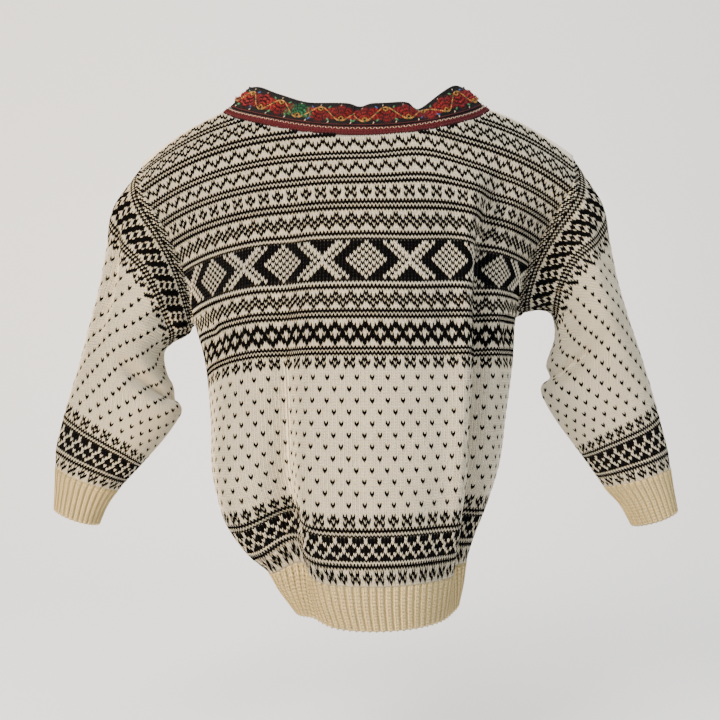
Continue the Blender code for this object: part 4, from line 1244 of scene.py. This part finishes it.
def thread_material(name, sheen, turns):
    """Embroidery thread: its colour is carried by each stitch."""
    material, tree, shader = bare_material(name, roughness=0.62, sheen=sheen, specular=0.2)
    thread = tree.nodes.new("ShaderNodeAttribute")
    thread.attribute_name = "thread"
    fuzz = placed_effect(tree, fuzz_effect(), Shadow=(0.012, 0.006, 0.006, 1.0), Wander=1.1)
    twist = placed_effect(tree, twist_effect(), Turns=turns, Slant=2.0)
    tree.links.new(thread.outputs["Color"], fuzz.inputs["Colour"])
    tree.links.new(fuzz.outputs["Colour"], shader.inputs["Base Color"])
    bump_chain(tree, shader, (twist.outputs["Height"], 0.7, 0.5), (fuzz.outputs["Height"], 0.2, 0.3))
    return material


def weave_material(name, colour):
    """The ground of the ribbon and the braid: a close weave with a dull shine."""
    material, tree, shader = bare_material(name, roughness=0.7, specular=0.12)
    fuzz = placed_effect(tree, fuzz_effect(), Colour=(*colour, 1.0), Shadow=deeper(colour, 2.5), Wander=0.8)
    picks = placed_effect(tree, twist_effect(), Turns=1.6, Slant=0.0)
    ends = placed_effect(tree, twist_effect(), Turns=0.0, Slant=1.6)
    tree.links.new(fuzz.outputs["Colour"], shader.inputs["Base Color"])
    bump_chain(tree, shader, (picks.outputs["Height"], 0.5, 0.3), (ends.outputs["Height"], 0.5, 0.3))
    return material


def pewter_material(name, colour):
    """Cast pewter: dull grey, dark in its hollows and a little uneven."""
    material, tree, shader = bare_material(name, roughness=0.38, metallic=1.0, specular=0.5)
    where = tree.nodes.new("ShaderNodeTexCoord")
    cast = tree.nodes.new("ShaderNodeTexNoise")
    cast.inputs["Scale"].default_value = 420.0
    cast.inputs["Detail"].default_value = 5.0
    hollow = tree.nodes.new("ShaderNodeAttribute")
    hollow.attribute_name = "hollow"
    mix = tree.nodes.new("ShaderNodeMix")
    mix.data_type = "RGBA"
    mix.inputs[6].default_value = (*colour, 1.0)
    mix.inputs[7].default_value = deeper(colour, 0.14)
    rough = tree.nodes.new("ShaderNodeMapRange")
    rough.inputs["To Min"].default_value = 0.26
    rough.inputs["To Max"].default_value = 0.54
    tree.links.new(where.outputs["Object"], cast.inputs["Vector"])
    tree.links.new(hollow.outputs["Fac"], mix.inputs["Factor"])
    tree.links.new(mix.outputs[2], shader.inputs["Base Color"])
    tree.links.new(cast.outputs["Fac"], rough.inputs["Value"])
    tree.links.new(rough.outputs["Result"], shader.inputs["Roughness"])
    bump_chain(tree, shader, (cast.outputs["Fac"], 0.25, 0.3))
    return material


def finish_named(name):
    """A finish, made when it is first asked for."""
    if name in bpy.data.materials:
        return bpy.data.materials[name]
    yarn, trim = bpy.context.scene.cardigan_yarn, bpy.context.scene.cardigan_trim
    light, dark, rib = tuple(yarn.light), tuple(yarn.dark), tuple(yarn.rib)
    makers = {
        "light wool stitch": lambda: yarn_material(name, light, deeper(light, 0.55)),
        "dark wool stitch": lambda: yarn_material(name, dark, deeper(dark, 1.8), wander=0.5, sheen=0.0,
                                                  specular=0.04),
        "rib wool stitch": lambda: yarn_material(name, rib, deeper(rib, 0.55)),
        # the purl side is the light wool's own colour, darkened to 0.86 of it as painted shade in the gaps
        # between the stitches
        "purl side": lambda: cloth_material(name, deeper(light, 0.86)[:3], dark),
        # painted shade: the rib wool at 0.45 of its colour darkens the valleys between the ribs
        "rib wool": lambda: cloth_material(name, rib, deeper(rib, 0.45)[:3]),
        "embroidery thread": lambda: thread_material(name, sheen=0.04, turns=4.0),
        "ribbon ground": lambda: weave_material(name, tuple(trim.ground)),
        "braid ground": lambda: weave_material(name, THREADS["braid shade"]),
        "cast pewter": lambda: pewter_material(name, tuple(trim.pewter)),
    }
    return makers[name]()


# Pieces of the garment

def dress(piece, slot, *nodes):
    """A finished piece goes with the garment, and the solids that it replaces are hidden; its slot is not
    used.
    """
    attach(piece, "root")
    if nodes:
        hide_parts(*nodes)
    return piece


def add_values(piece, name, values):
    layer = piece.data.attributes.new(name, "FLOAT", "POINT")
    layer.data.foreach_set("value", np.ascontiguousarray(values, dtype=float).ravel())


def wool_stitches(name, wool, points, outward, upward, cell, reach=1.0, rise=1.0):
    """Knitted stitches of one wool, as full and plump as the settings say."""
    yarn = bpy.context.scene.cardigan_yarn
    return stitched(name, "stitch", points, outward, upward, cell, finish_named(wool + " wool stitch"),
                    None, yarn.fullness, yarn.overlap * reach, yarn.thickness / MM * rise)


def knit_panel(name, cloth, up, at, bands, columns, bows, keep, wrap=False, flip=False):
    """A knitted panel: its backing cloth, its light stitches and its dark stitches."""
    lie = cloth.laid(up, at)
    outer, inner = (drawn_in(cloth.at(lie, at, -depth), wrap) for depth in (SHELL_SINK, WALL))
    uv = np.stack([at * BODY_STITCHES / 2, up / BODY_ROW], axis=-1)
    backing = shell(name + "_cloth", outer, inner, finish_named("purl side"), wrap, flip, uv)
    tone = row_tone(bands, up - bowed(bows, up, at)).ravel()
    add_values(backing, "tone", np.concatenate([tone, tone]))
    dress(backing, "off_white_wool", name)
    knit = knit_rows(cloth, bands, columns, bows, keep)
    for tint, chosen in (("light", ~knit["dark"]), ("dark", knit["dark"])):
        places = (knit[part][chosen] for part in ("points", "outward", "upward", "cell"))
        stitches = wool_stitches(f"{name}_{tint}_stitches", tint, *places)
        dress(stitches, "off_white_wool")


def body_grid(top, first, last):
    """Rows and columns of the backing cloth of a panel of the body."""
    width = (last - first) * BACK_HALF_WIDTH
    places = np.linspace(first, last, round(width / CELL) + 1)
    heights = np.linspace(0, SHOULDER, round(SHOULDER / CELL) + 1)
    share = np.clip((heights[:, None] - UNDERARM) / (SHOULDER - UNDERARM), 0, 1)
    up = np.where(heights[:, None] > UNDERARM, UNDERARM + share * (top(places) - UNDERARM),
                  heights[:, None] + 0 * places)
    return up, np.tile(places, (len(heights), 1))


def sleeve_grid(start, end, count):
    down = np.linspace(start, end, round(abs(end - start) / CELL) + 1)
    places = np.arange(count) / count
    return np.tile(down[:, None], (1, count)), np.tile(places, (len(down), 1))


def ribbed_piece(name, cloth, rows, places, ribs, upper_first, wrap=False, flip=False):
    """A ribbed welt: rounded ribs in the cloth, with painted shade in their valleys, and a column of
    stitches on each.

    The rows run from the panel to the edge where upper_first is set, and the other way
    where it isn't.
    """
    count = ribs * RIB_FACETS + (0 if wrap else 1)
    share = np.arange(count) / (ribs * RIB_FACETS)
    at = np.tile(places[0] + (places[1] - places[0]) * share, (len(rows), 1))
    row = np.tile(rows[:, None], (1, count))
    crest = 0.5 - 0.5 * np.cos(2 * math.pi * share * ribs)
    fade = np.ones(len(rows))
    fade[0 if upper_first else -1] = RIB_START
    lift = RIB_RAISE * crest[None, :] * fade[:, None] - SHELL_SINK
    outer, inner = drawn_in(cloth.at(row, at, lift), wrap), drawn_in(cloth.at(row, at, -WALL), wrap)
    uv = np.stack([share * ribs * 2 + 0 * row, row / RIB_ROW], axis=-1)
    welt = shell(name + "_cloth", outer, inner, finish_named("rib wool"), wrap, flip, uv)
    # painted shade in the valleys between the ribs, strongest at their bottoms and fading up each rib
    valley = np.tile((1 - crest) ** RIB_VALLEY, len(rows))
    add_values(welt, "tone", np.concatenate([valley, np.zeros(row.size)]))
    dress(welt, "rib_wool", name)
    low, high = rows[0] + RIB_STITCH_INSET, rows[-1] - RIB_STITCH_INSET
    lines = round((high - low) / RIB_ROW)
    step = (high - low) / lines
    pitch = abs(places[1] - places[0]) / ribs
    row, place = (grid.ravel() for grid in np.meshgrid(
        low + (np.arange(lines) + 0.5) * step,
        places[0] + (places[1] - places[0]) * (np.arange(ribs) + 0.5) / ribs, indexing="ij"))
    above, below = cloth.at(row + step / 2, place), cloth.at(row - step / 2, place)
    beside = cloth.at(row, place + pitch / 2) - cloth.at(row, place - pitch / 2)
    cell = np.stack([np.linalg.norm(beside, axis=1) * RIB_WIDTH,
                     np.linalg.norm(above - below, axis=1), np.ones(len(row))], axis=1)
    upward = unit(above - below) * (-1 if upper_first else 1)
    stitches = wool_stitches(name + "_stitches", "rib", cloth.at(row, place, RIB_RAISE - RIB_STITCH_SINK),
                             cloth.normal(row, place), upward, cell, RIB_STITCH_REACH, RIB_STITCH_RISE)
    dress(stitches, "rib_wool")


class Strip:
    """A narrow trim read in millimetres: along it, across it and out from its face."""

    def __init__(self, cloth, length, width, place, facing=1):
        self.cloth, self.length, self.width = cloth, length, width
        self.place, self.facing = place, facing

    def at(self, along, across, lift=0.0):
        along, across = np.broadcast_arrays(np.asarray(along, float), np.asarray(across, float))
        return self.cloth.at(*self.place(along, across), lift)

    def axes(self, along, across):
        """Directions along, across and out of the strip."""
        run = unit(self.at(along + HALF_ALONG, across) - self.at(along - HALF_ALONG, across))
        rise = unit(self.at(along, across + HALF_ACROSS) - self.at(along, across - HALF_ACROSS))
        return run, rise, unit(np.cross(run, rise)) * self.facing


def neck_strip(low, high):
    """The standing neck trim between two heights, from the left front edge round."""
    cloth = skin("trim")
    row = round((low + high) / 2 / cloth.rows[-1] * (len(cloth.rows) - 1))
    run = row_lengths(cloth.face.points[row:row + 1])[0]
    return Strip(cloth, run[-1], high - low,
                 lambda along, across: (low + across, np.interp(along, run, cloth.columns)))


def front_strip(sign):
    """The braid down a front edge, from the hem up to the neck."""
    cloth = skin("front")
    middle = (FRONT_EDGE + FRONT_CENTRE) / 2
    top = front_neckline(np.array([middle]))[0]
    half = np.interp(BRAID_WIDTH_AT, cloth.rows, row_lengths(cloth.face.points)[:, -1] / 2)
    width = (FRONT_EDGE - FRONT_CENTRE) * half
    return Strip(cloth, top - HEM_EDGE, width,
                 lambda along, across: (HEM_EDGE + along, sign * (FRONT_EDGE - across / half)), -sign)


def strip_cloth(name, strip, thickness, material, cell):
    """The plain cloth of a narrow trim."""
    along = np.linspace(0, strip.length, round(strip.length / cell) + 1)
    across = np.linspace(0, strip.width, round(strip.width / cell) + 2)
    along, across = np.meshgrid(along, across)
    outer, inner = (drawn_in(strip.at(along, across, -depth), False) for depth in (BRAID_SINK, thickness))
    uv = np.stack([along, across], axis=-1)
    return shell(name + "_cloth", outer, inner, finish_named(material), False, strip.facing < 0, uv)


def embroidered(name, small, strip, threads, slot):
    """Stitches of thread: along, across, heading, length, width, rise and colour."""
    along, across, heading, length, width, rise = (np.array([row[k] for row in threads], float)
                                                   for k in range(6))
    colours = np.array([(*THREADS[row[6]], 1.0) for row in threads])
    run, up, outward = strip.axes(along, across)
    angle = np.radians(heading)[:, None]
    upward = up * np.cos(angle) + run * np.sin(angle)
    cell = np.stack([width, length, rise], axis=1)
    piece = stitched(name, small, strip.at(along, across, -BRAID_SINK), outward, upward, cell,
                     finish_named("embroidery thread"), colours)
    return dress(piece, slot)


def woven_braid(name, strip):
    """A woven braid: dark edges, two rows of slanted red threads and a light zigzag."""
    cloth = strip_cloth(name, strip, BRAID_WALL, "braid ground", BRAID_CELL)
    dress(cloth, "red_braid", name)
    threads = []
    for low, high, pitch, slant, rise, fill, colours in BRAID_ROWS.values():
        start, end = low * strip.width, high * strip.width
        heading = math.degrees(math.atan(slant))
        length = (end - start) / math.cos(math.radians(heading))
        shift = -math.tan(math.radians(heading)) * (end - start) / 2
        for k in range(int((strip.length - 2 * BRAID_END) / pitch)):
            along = BRAID_END + (k + 0.5) * pitch + shift
            if fill < 0.5 and slant < 0:
                along += pitch / 2
            colour = colours[k % len(colours)]
            threads.append((along, start, heading, length, pitch * fill, rise, colour))
    piece = embroidered(name + "_threads", "thread", strip, threads, "red_braid")


def vine_height(from_middle):
    turn = 2 * math.pi * (abs(from_middle) - VINE_FIRST_LOW) / VINE_REPEAT
    return VINE_MIDDLE - VINE_SWING * math.cos(turn)


def vine_threads(length):
    """Overlapping stem stitches along a wave."""
    threads = []
    step = VINE_STITCH[0] * VINE_STEP
    for k in range(int(length / step)):
        place = k * step - length / 2
        rise = vine_height(place + 0.5) - vine_height(place - 0.5)
        heading = 90 - math.degrees(math.atan(rise)) + VINE_TWIST
        colour = VINE_COLOURS[k % len(VINE_COLOURS)]
        threads.append((k * step, vine_height(place), heading, *VINE_STITCH, colour))
    return threads


def blossom_threads(place, foot, facing, green):
    """Satin stitches in rings about the foot of a lobed blossom."""
    threads = []
    for start, end, rise, *tones in BLOSSOM_RINGS:
        arc = math.radians(2 * BLOSSOM_SPREAD) * (start + end) / 2
        count = round(arc / (BLOSSOM_THREAD * BLOSSOM_PITCH))
        for k in range(count + 1):
            share = k / count
            lobe = abs((share * BLOSSOM_LOBES) % 1 - 0.5) * 2
            reach = 1 - BLOSSOM_NOTCH * lobe**3
            tone = "crimson" if lobe > 0.80 and start > 5 else tones[k % 2]
            heading = facing + (2 * share - 1) * BLOSSOM_SPREAD
            angle = math.radians(heading)
            threads.append((place + start * reach * math.sin(angle), foot + start * reach * math.cos(angle),
                            heading, (end - start) * reach * BLOSSOM_LAP, BLOSSOM_THREAD,
                            rise * (1 - 0.35 * lobe), GREEN_THREADS[tone] if green else tone))
    return threads


def blossoms(length):
    """A blossom in every hollow of the vine, by turns above and below it."""
    petals, leaves = [], []
    half = VINE_REPEAT / 2
    count = int((length / 2 - VINE_FIRST_LOW) / half - 0.4)
    for k in range(-count - 1, count + 1):
        number = k if k >= 0 else -k - 1
        place = (1 if k >= 0 else -1) * (VINE_FIRST_LOW + number * half)
        down = number % 2 == 1
        foot = vine_height(place) + (-BLOSSOM_FOOT if down else BLOSSOM_FOOT)
        facing = 180 if down else 0
        petals += blossom_threads(length / 2 + place, foot, facing, k == GREEN_BLOSSOM)
        for hand in (-1, 1):
            colour = "blue" if (number + hand) % 3 == 0 else "bright green"
            leaves.append((length / 2 + place + hand * LEAF_REACH,
                           foot + (LEAF_DROP if down else -LEAF_DROP),
                           facing + hand * LEAF_TURN, *LEAF_STITCH, colour))
    return petals, leaves


def along_edge(strip, along, stitch):
    """A stitch of one of the ribbon's edges at a place along it."""
    across = stitch[0] if stitch[0] > 0 else strip.width + stitch[0]
    return (along, across, *stitch[1:])


def edge_specks(strip):
    """Light wedges between the blossoms, a red cord, and an overcast rim and seam."""
    wedges, rim = [], []
    half = VINE_REPEAT / 2
    for k in range(int(strip.length / half)):
        along = (k + 0.5) * half
        wedges.append(along_edge(strip, along, LOWER_WEDGE))
        wedges.append(along_edge(strip, along + half / 2, UPPER_WEDGE))
    for k in range(int(strip.length / EDGE_PITCH)):
        along = (k + 0.5) * EDGE_PITCH
        rim.append(along_edge(strip, along, OVERCAST))
        rim.append(along_edge(strip, along, RED_CORD))
    for k in range(int(strip.width / EDGE_PITCH)):
        rim.append((strip.length / 2, k * EDGE_PITCH, *SEAM_STITCH))
    return wedges, rim


def neck_ribbon():
    """The embroidered ribbon that stands above the neck braid."""
    full = NECK_BRAID_HEIGHT + NECK_RIBBON_HEIGHT
    strip = neck_strip(NECK_BRAID_HEIGHT + SEAM_GAP, full)
    cloth = strip_cloth("neck_ribbon", strip, RIBBON_WALL, "ribbon ground", RIBBON_CELL)
    dress(cloth, "embroidered_ribbon", "neck_ribbon")
    petals, leaves = blossoms(strip.length)
    wedges, rim = edge_specks(strip)
    parts = (("blossoms", "thread", petals), ("leaves", "leaf", leaves), ("specks", "speck", wedges),
             ("rim", "thread", rim), ("vine", "thread", vine_threads(strip.length)))
    pieces = [embroidered(f"neck_ribbon_{label}", small, strip, threads, "embroidered_ribbon")
              for label, small, threads in parts]


def swell(places, height, middle, reach):
    """A round rise about its middle, which dies away over its reach."""
    return height * np.exp(-((places - middle) / reach) ** 2)


def clasp_plate(name, frame_axes):
    """A domed pewter plate: a beaded rim round a rosette with a boss."""
    middle, across, up, outward = frame_axes
    ring = np.arange(1, PLATE_RINGS + 1) / PLATE_RINGS
    turn = np.arange(PLATE_TURNS) / PLATE_TURNS * 2 * math.pi
    ring, turn = np.meshgrid(ring, turn, indexing="ij")
    petals = (0.5 + 0.5 * np.cos(ROSETTE * turn)) * swell(ring, *PLATE_PETALS)
    beads = (0.7 + 0.3 * np.cos(ROSETTE * 3 * turn)) * swell(ring, *PLATE_BEADS)
    relief = PLATE_GROUND + petals + beads + swell(ring, *PLATE_BOSS)
    relief[-1] = PLATE_EDGE
    scallop = 1 + SCALLOP * np.cos(ROSETTE * 2 * turn)
    x = ring * np.cos(turn) * scallop * PLATE_LENGTH / 2
    y = ring * np.sin(turn) * scallop * PLATE_WIDTH / 2
    z = (relief - 0.5) * PLATE_THICKNESS
    points = (middle + x[..., None] * across + y[..., None] * up + z[..., None] * outward).reshape(-1, 3)
    under = middle - 0.5 * PLATE_THICKNESS * outward + x[-1][:, None] * across + y[-1][:, None] * up
    centre = middle + (PLATE_GROUND + PLATE_BOSS[0] - 0.5) * PLATE_THICKNESS * outward
    points = np.concatenate([[centre], points, under])
    faces = []
    for k in range(PLATE_TURNS):
        n = (k + 1) % PLATE_TURNS
        faces.append((0, 1 + k, 1 + n))
        for r in range(PLATE_RINGS):
            a = 1 + r * PLATE_TURNS
            faces.append((a + k, a + PLATE_TURNS + k, a + PLATE_TURNS + n, a + n))
    last = 1 + PLATE_RINGS * PLATE_TURNS
    faces.append([last + k for k in range(PLATE_TURNS)][::-1])
    handed = np.dot(np.cross(across, up), outward)
    if handed < 0:
        faces = [tuple(face)[::-1] for face in faces]
    piece = mesh_piece(name + "_cast", points, faces, finish_named("cast pewter"))
    hollow = np.clip((PLATE_HOLLOW[0] - relief) / PLATE_HOLLOW[1], 0, 1).ravel()
    add_values(piece, "hollow", np.concatenate([[0.0], hollow, np.zeros(PLATE_TURNS)]))
    return dress(piece, "pewter", name)


def clasp_hook(name, frame_axes):
    """A cast hook: a rounded bar with a bead in its middle and a broad loop at each end."""
    middle, across, up, outward = frame_axes
    share = np.linspace(-1, 1, HOOK_SECTIONS)
    turn = np.arange(HOOK_ROUND) / HOOK_ROUND * 2 * math.pi
    waist = HOOK_WAIST + (1 - HOOK_WAIST) * np.abs(share) ** 1.5
    end = np.sqrt(np.clip(1 - np.abs(share) ** HOOK_SQUARE, HOOK_TIP, 1))
    half = HOOK_WIDTH / 2 * np.maximum(waist, swell(share, *HOOK_BEAD)) * end
    thick = HOOK_THICKNESS / 2 * (HOOK_THIN + swell(share, *HOOK_BEAD_RISE)) * end
    rings = (middle + (share * HOOK_LENGTH / 2)[:, None, None] * across
             + (half[:, None] * np.cos(turn))[..., None] * up
             + (thick[:, None] * np.sin(turn))[..., None] * outward)
    points = rings.reshape(-1, 3)
    faces = []
    for r in range(HOOK_SECTIONS - 1):
        for k in range(HOOK_ROUND):
            n = (k + 1) % HOOK_ROUND
            a = r * HOOK_ROUND
            faces.append((a + k, a + n, a + HOOK_ROUND + n, a + HOOK_ROUND + k))
    faces.append(list(range(HOOK_ROUND))[::-1])
    faces.append([len(points) - HOOK_ROUND + k for k in range(HOOK_ROUND)])
    if np.dot(np.cross(up, outward), across) < 0:
        faces = [tuple(face)[::-1] for face in faces]
    piece = mesh_piece(name + "_cast", points, faces, finish_named("cast pewter"))
    add_values(piece, "hollow", np.zeros(len(points)))
    return dress(piece, "pewter", name)


# The stage

def area_light(name, place, target, size, power, colour):
    light = bpy.data.lights.new(name, "AREA")
    light.shape = "SQUARE"
    light.size = size
    light.energy = power
    light.color = colour
    lamp = bpy.data.objects.new(name, light)
    lamp.location = place
    lamp.rotation_euler = (Vector(target) - Vector(place)).to_track_quat("-Z", "Y").to_euler()
    bpy.context.scene.collection.objects.link(lamp)


def backdrop(stage):
    """A pale floor that turns up into a plain wall."""
    turn = np.linspace(0, math.pi / 2, WALL_POINTS)
    bend = stage.wall_bend
    depth = stage.wall_distance - bend
    profile = [(FLOOR_FRONT, 0.0)]
    profile += [(depth + bend * math.sin(a), bend * (1 - math.cos(a))) for a in turn]
    profile += [(stage.wall_distance, WALL_TOP)]
    points = [(x / MM, y / MM, (stage.floor_height + z) / MM)
              for x in (-FLOOR_HALF_WIDTH, FLOOR_HALF_WIDTH) for y, z in profile]
    count = len(profile)
    faces = [(k, k + count, k + count + 1, k + 1) for k in range(count - 1)]
    material, _, shader = bare_material("pale paper", roughness=0.9)
    shader.inputs["Base Color"].default_value = (*stage.paper, 1.0)
    piece = mesh_piece("backdrop", points, faces, material)


# Settings

def colour_property(name, description, default):
    return FloatVectorProperty(name=name, description=description, default=default, size=3,
                               subtype="COLOR", min=0.0, max=1.0)


class CardiganYarn(PropertyGroup):
    """Yarn and stitches."""
    light: colour_property("Light yarn", "Off-white wool of the ground", (0.84, 0.76, 0.58))
    dark: colour_property("Dark yarn", "Near-black wool of the pattern", (0.0024, 0.0022, 0.0025))
    rib: colour_property("Rib yarn", "Off-white wool of the ribs", (0.74, 0.57, 0.26))
    thickness: FloatProperty(name="Thickness", description="How far a stitch stands out of the cloth",
                             default=1.0 * MM, min=0.0002, max=0.003, subtype="DISTANCE", unit="LENGTH")
    fullness: FloatProperty(name="Fullness", description="Width of a stitch as a share of its place",
                            default=1.0, min=0.5, max=1.4, subtype="FACTOR")
    overlap: FloatProperty(name="Overlap", description="Height of a stitch as a share of its row",
                           default=1.32, min=0.8, max=1.6, subtype="FACTOR")


class CardiganTrim(PropertyGroup):
    """Ribbon and clasps."""
    ground: colour_property("Ribbon ground", "Black ground of the ribbon", (0.0030, 0.0026, 0.0030))
    pewter: colour_property("Pewter", "Metal of the clasps", (0.20, 0.194, 0.185))


class CardiganStage(PropertyGroup):
    """Floor, camera and lights."""
    paper: colour_property("Paper", "Pale floor and wall", (0.90, 0.90, 0.90))
    floor_height: FloatProperty(name="Floor height", description="Height of the floor",
                                default=CAD_BOX[0][2] - 0.16, unit="LENGTH")
    wall_distance: FloatProperty(name="Wall distance", description="From the garment to the wall",
                                 default=1.5, min=0.5, unit="LENGTH")
    wall_bend: FloatProperty(name="Wall bend", description="Radius between the floor and the wall",
                             default=0.7, min=0.05, unit="LENGTH")
    camera_distance: FloatProperty(name="Camera distance", description="From the garment to the camera",
                                   default=1.0, min=0.3, unit="LENGTH")
    camera_height: FloatProperty(name="Camera height", description="Height of the camera",
                                 default=-0.248, unit="LENGTH")
    key: FloatProperty(name="Key light", description="Power of the main light, from the upper left",
                       default=44.0, min=0.0, unit="POWER")
    warm: FloatProperty(name="Warm light", description="Power of the warm light from the lower left",
                        default=84.0, min=0.0, unit="POWER")
    fill: FloatProperty(name="Fill light", description="Power of the cool light from the right",
                        default=17.0, min=0.0, unit="POWER")


# Operators

class CARDIGAN_OT_back(Operator):
    """Knit the back"""
    bl_idname = "cardigan.back"
    bl_label = "Back"

    def execute(self, context):
        up, at = body_grid(neckline, -1.0, 1.0)
        last = BODY_STITCHES // 2
        knit_panel("back", skin("back"), up, at, BODY_BANDS, body_columns(-last, last), BACK_BOWS,
                   lambda row, place: (row < neckline(place) - NECK_CLEAR) & (row > 0))
        return {"FINISHED"}


class CARDIGAN_OT_fronts(Operator):
    """Knit both fronts"""
    bl_idname = "cardigan.fronts"
    bl_label = "Fronts"

    def execute(self, context):
        last = BODY_STITCHES // 2
        for side, ends, numbers in (("left", (-1.0, -FRONT_EDGE), (-last, -FRONT_FIRST)),
                                    ("right", (FRONT_EDGE, 1.0), (FRONT_FIRST, last))):
            up, at = body_grid(front_neckline, *ends)
            knit_panel(f"{side}_front", skin("front"), up, at, BODY_BANDS, body_columns(*numbers),
                       FRONT_BOWS, lambda row, place: (row < front_neckline(place) - NECK_CLEAR) & (row > 0),
                       flip=True)
        return {"FINISHED"}


class CARDIGAN_OT_sleeves(Operator):
    """Knit both sleeves"""
    bl_idname = "cardigan.sleeves"
    bl_label = "Sleeves"

    def execute(self, context):
        down, at = sleeve_grid(0.0, CUFF_TOP, SLEEVE_FACETS)
        for side in ("left", "right"):
            knit_panel(f"{side}_sleeve", skin(side), down, at, SLEEVE_BANDS, sleeve_columns, SLEEVE_BOWS,
                       lambda row, place: row < CUFF_TOP, wrap=True, flip=side == "right")
        return {"FINISHED"}


class CARDIGAN_OT_ribs(Operator):
    """Knit the ribs of the hem and the cuffs"""
    bl_idname = "cardigan.ribs"
    bl_label = "Ribs"

    def execute(self, context):
        rows = np.linspace(HEM_EDGE, 0, HEM_ROWS)
        ribbed_piece("hem_back", skin("back"), rows, (-1.0, 1.0), HEM_RIBS_BACK, False)
        for side, ends in (("left", (-1.0, -FRONT_EDGE)), ("right", (FRONT_EDGE, 1.0))):
            ribbed_piece(f"hem_{side}_front", skin("front"), rows, ends, HEM_RIBS_FRONT, False,
                         flip=True)
        rows = np.linspace(CUFF_TOP, CUFF_EDGE, CUFF_ROWS)
        for side in ("left", "right"):
            ribbed_piece(f"{side}_cuff", skin(side), rows, (0.0, 1.0), CUFF_RIBS, True,
                         wrap=True, flip=side == "right")
        return {"FINISHED"}


class CARDIGAN_OT_braids(Operator):
    """Weave the braids of the neck and the front edges"""
    bl_idname = "cardigan.braids"
    bl_label = "Braids"

    def execute(self, context):
        woven_braid("neck_braid", neck_strip(0.0, NECK_BRAID_HEIGHT))
        for side, sign in (("left", -1), ("right", 1)):
            woven_braid(f"{side}_front_braid", front_strip(sign))
        return {"FINISHED"}


class CARDIGAN_OT_ribbon(Operator):
    """Embroider the neck ribbon"""
    bl_idname = "cardigan.ribbon"
    bl_label = "Neck Ribbon"

    def execute(self, context):
        neck_ribbon()
        return {"FINISHED"}


class CARDIGAN_OT_clasps(Operator):
    """Cast the pewter clasps"""
    bl_idname = "cardigan.clasps"
    bl_label = "Clasps"

    def execute(self, context):
        front = skin("front").face
        half = row_lengths(front.points)[:, -1] / 2
        for number, height in enumerate(CLASP_HEIGHTS, start=1):
            width = np.interp(height, front.rows, half)
            lift = rib_height(height) + PLATE_CLEARANCE + PLATE_THICKNESS / 2
            for side, sign in (("left", -1), ("right", 1)):
                place = sign * (PLATE_LENGTH / 2 + PLATE_APART) / width
                clasp_plate(f"clasp_{number}_{side}_plate", frame_on(front, height, place, lift))
            top = rib_height(height) + PLATE_CLEARANCE + PLATE_THICKNESS + HOOK_CLEARANCE
            clasp_hook(f"clasp_{number}_hook", frame_on(front, height, 0.0, top + HOOK_THICKNESS / 2))
        return {"FINISHED"}


class CARDIGAN_OT_stage(Operator):
    """Set up the floor, the camera and the lights"""
    bl_idname = "cardigan.stage"
    bl_label = "Stage"

    def execute(self, context):
        stage = context.scene.cardigan_stage
        backdrop(stage)
        camera = bpy.data.cameras.new("camera")
        camera.lens = LENS
        camera.sensor_width = SENSOR
        eye = bpy.data.objects.new("camera", camera)
        eye.location = (0.0, -stage.camera_distance, stage.camera_height)
        eye.rotation_euler = (math.radians(90), 0.0, 0.0)
        context.scene.collection.objects.link(eye)
        context.scene.camera = eye
        middle = (0.0, 0.0, stage.camera_height)
        for name, (place, size, setting, share, colour) in LIGHTS.items():
            area_light(name, place, middle, size, getattr(stage, setting) * share, colour)
        world = bpy.data.worlds.new("room")
        world.use_nodes = True
        light = world.node_tree.nodes["Background"]
        light.inputs["Color"].default_value = ROOM_COLOUR
        light.inputs["Strength"].default_value = ROOM_STRENGTH
        context.scene.world = world
        return {"FINISHED"}


STEPS = (CARDIGAN_OT_back, CARDIGAN_OT_fronts, CARDIGAN_OT_sleeves, CARDIGAN_OT_ribs,
         CARDIGAN_OT_braids, CARDIGAN_OT_ribbon, CARDIGAN_OT_clasps, CARDIGAN_OT_stage)


class CARDIGAN_PT_panel(Panel):
    """The cardigan's settings and steps"""
    bl_label = "Cardigan"
    bl_idname = "CARDIGAN_PT_panel"
    bl_space_type = "VIEW_3D"
    bl_region_type = "UI"
    bl_category = "Cardigan"

    def draw(self, context):
        scene = context.scene
        for title, settings in (("Yarn", scene.cardigan_yarn), ("Trim", scene.cardigan_trim),
                                ("Stage", scene.cardigan_stage)):
            box = self.layout.box()
            box.label(text=title)
            for name in settings.__annotations__:
                box.prop(settings, name)
        for step in STEPS:
            self.layout.operator(step.bl_idname)


GROUPS = {"cardigan_yarn": CardiganYarn, "cardigan_trim": CardiganTrim, "cardigan_stage": CardiganStage}
CLASSES = (*GROUPS.values(), *STEPS, CARDIGAN_PT_panel)


def register():
    for cls in CLASSES:
        bpy.utils.register_class(cls)
    for name, group in GROUPS.items():
        setattr(bpy.types.Scene, name, PointerProperty(type=group))


def unregister():
    for name in GROUPS:
        delattr(bpy.types.Scene, name)
    for cls in reversed(CLASSES):
        bpy.utils.unregister_class(cls)


def main():
    register()
    for step in (bpy.ops.cardigan.back, bpy.ops.cardigan.fronts, bpy.ops.cardigan.sleeves,
                 bpy.ops.cardigan.ribs, bpy.ops.cardigan.braids, bpy.ops.cardigan.ribbon,
                 bpy.ops.cardigan.clasps, bpy.ops.cardigan.stage):
        step()
    for small in SHAPES.values():
        bpy.data.objects.remove(small, do_unlink=True)


if __name__ == "__main__":
    main()
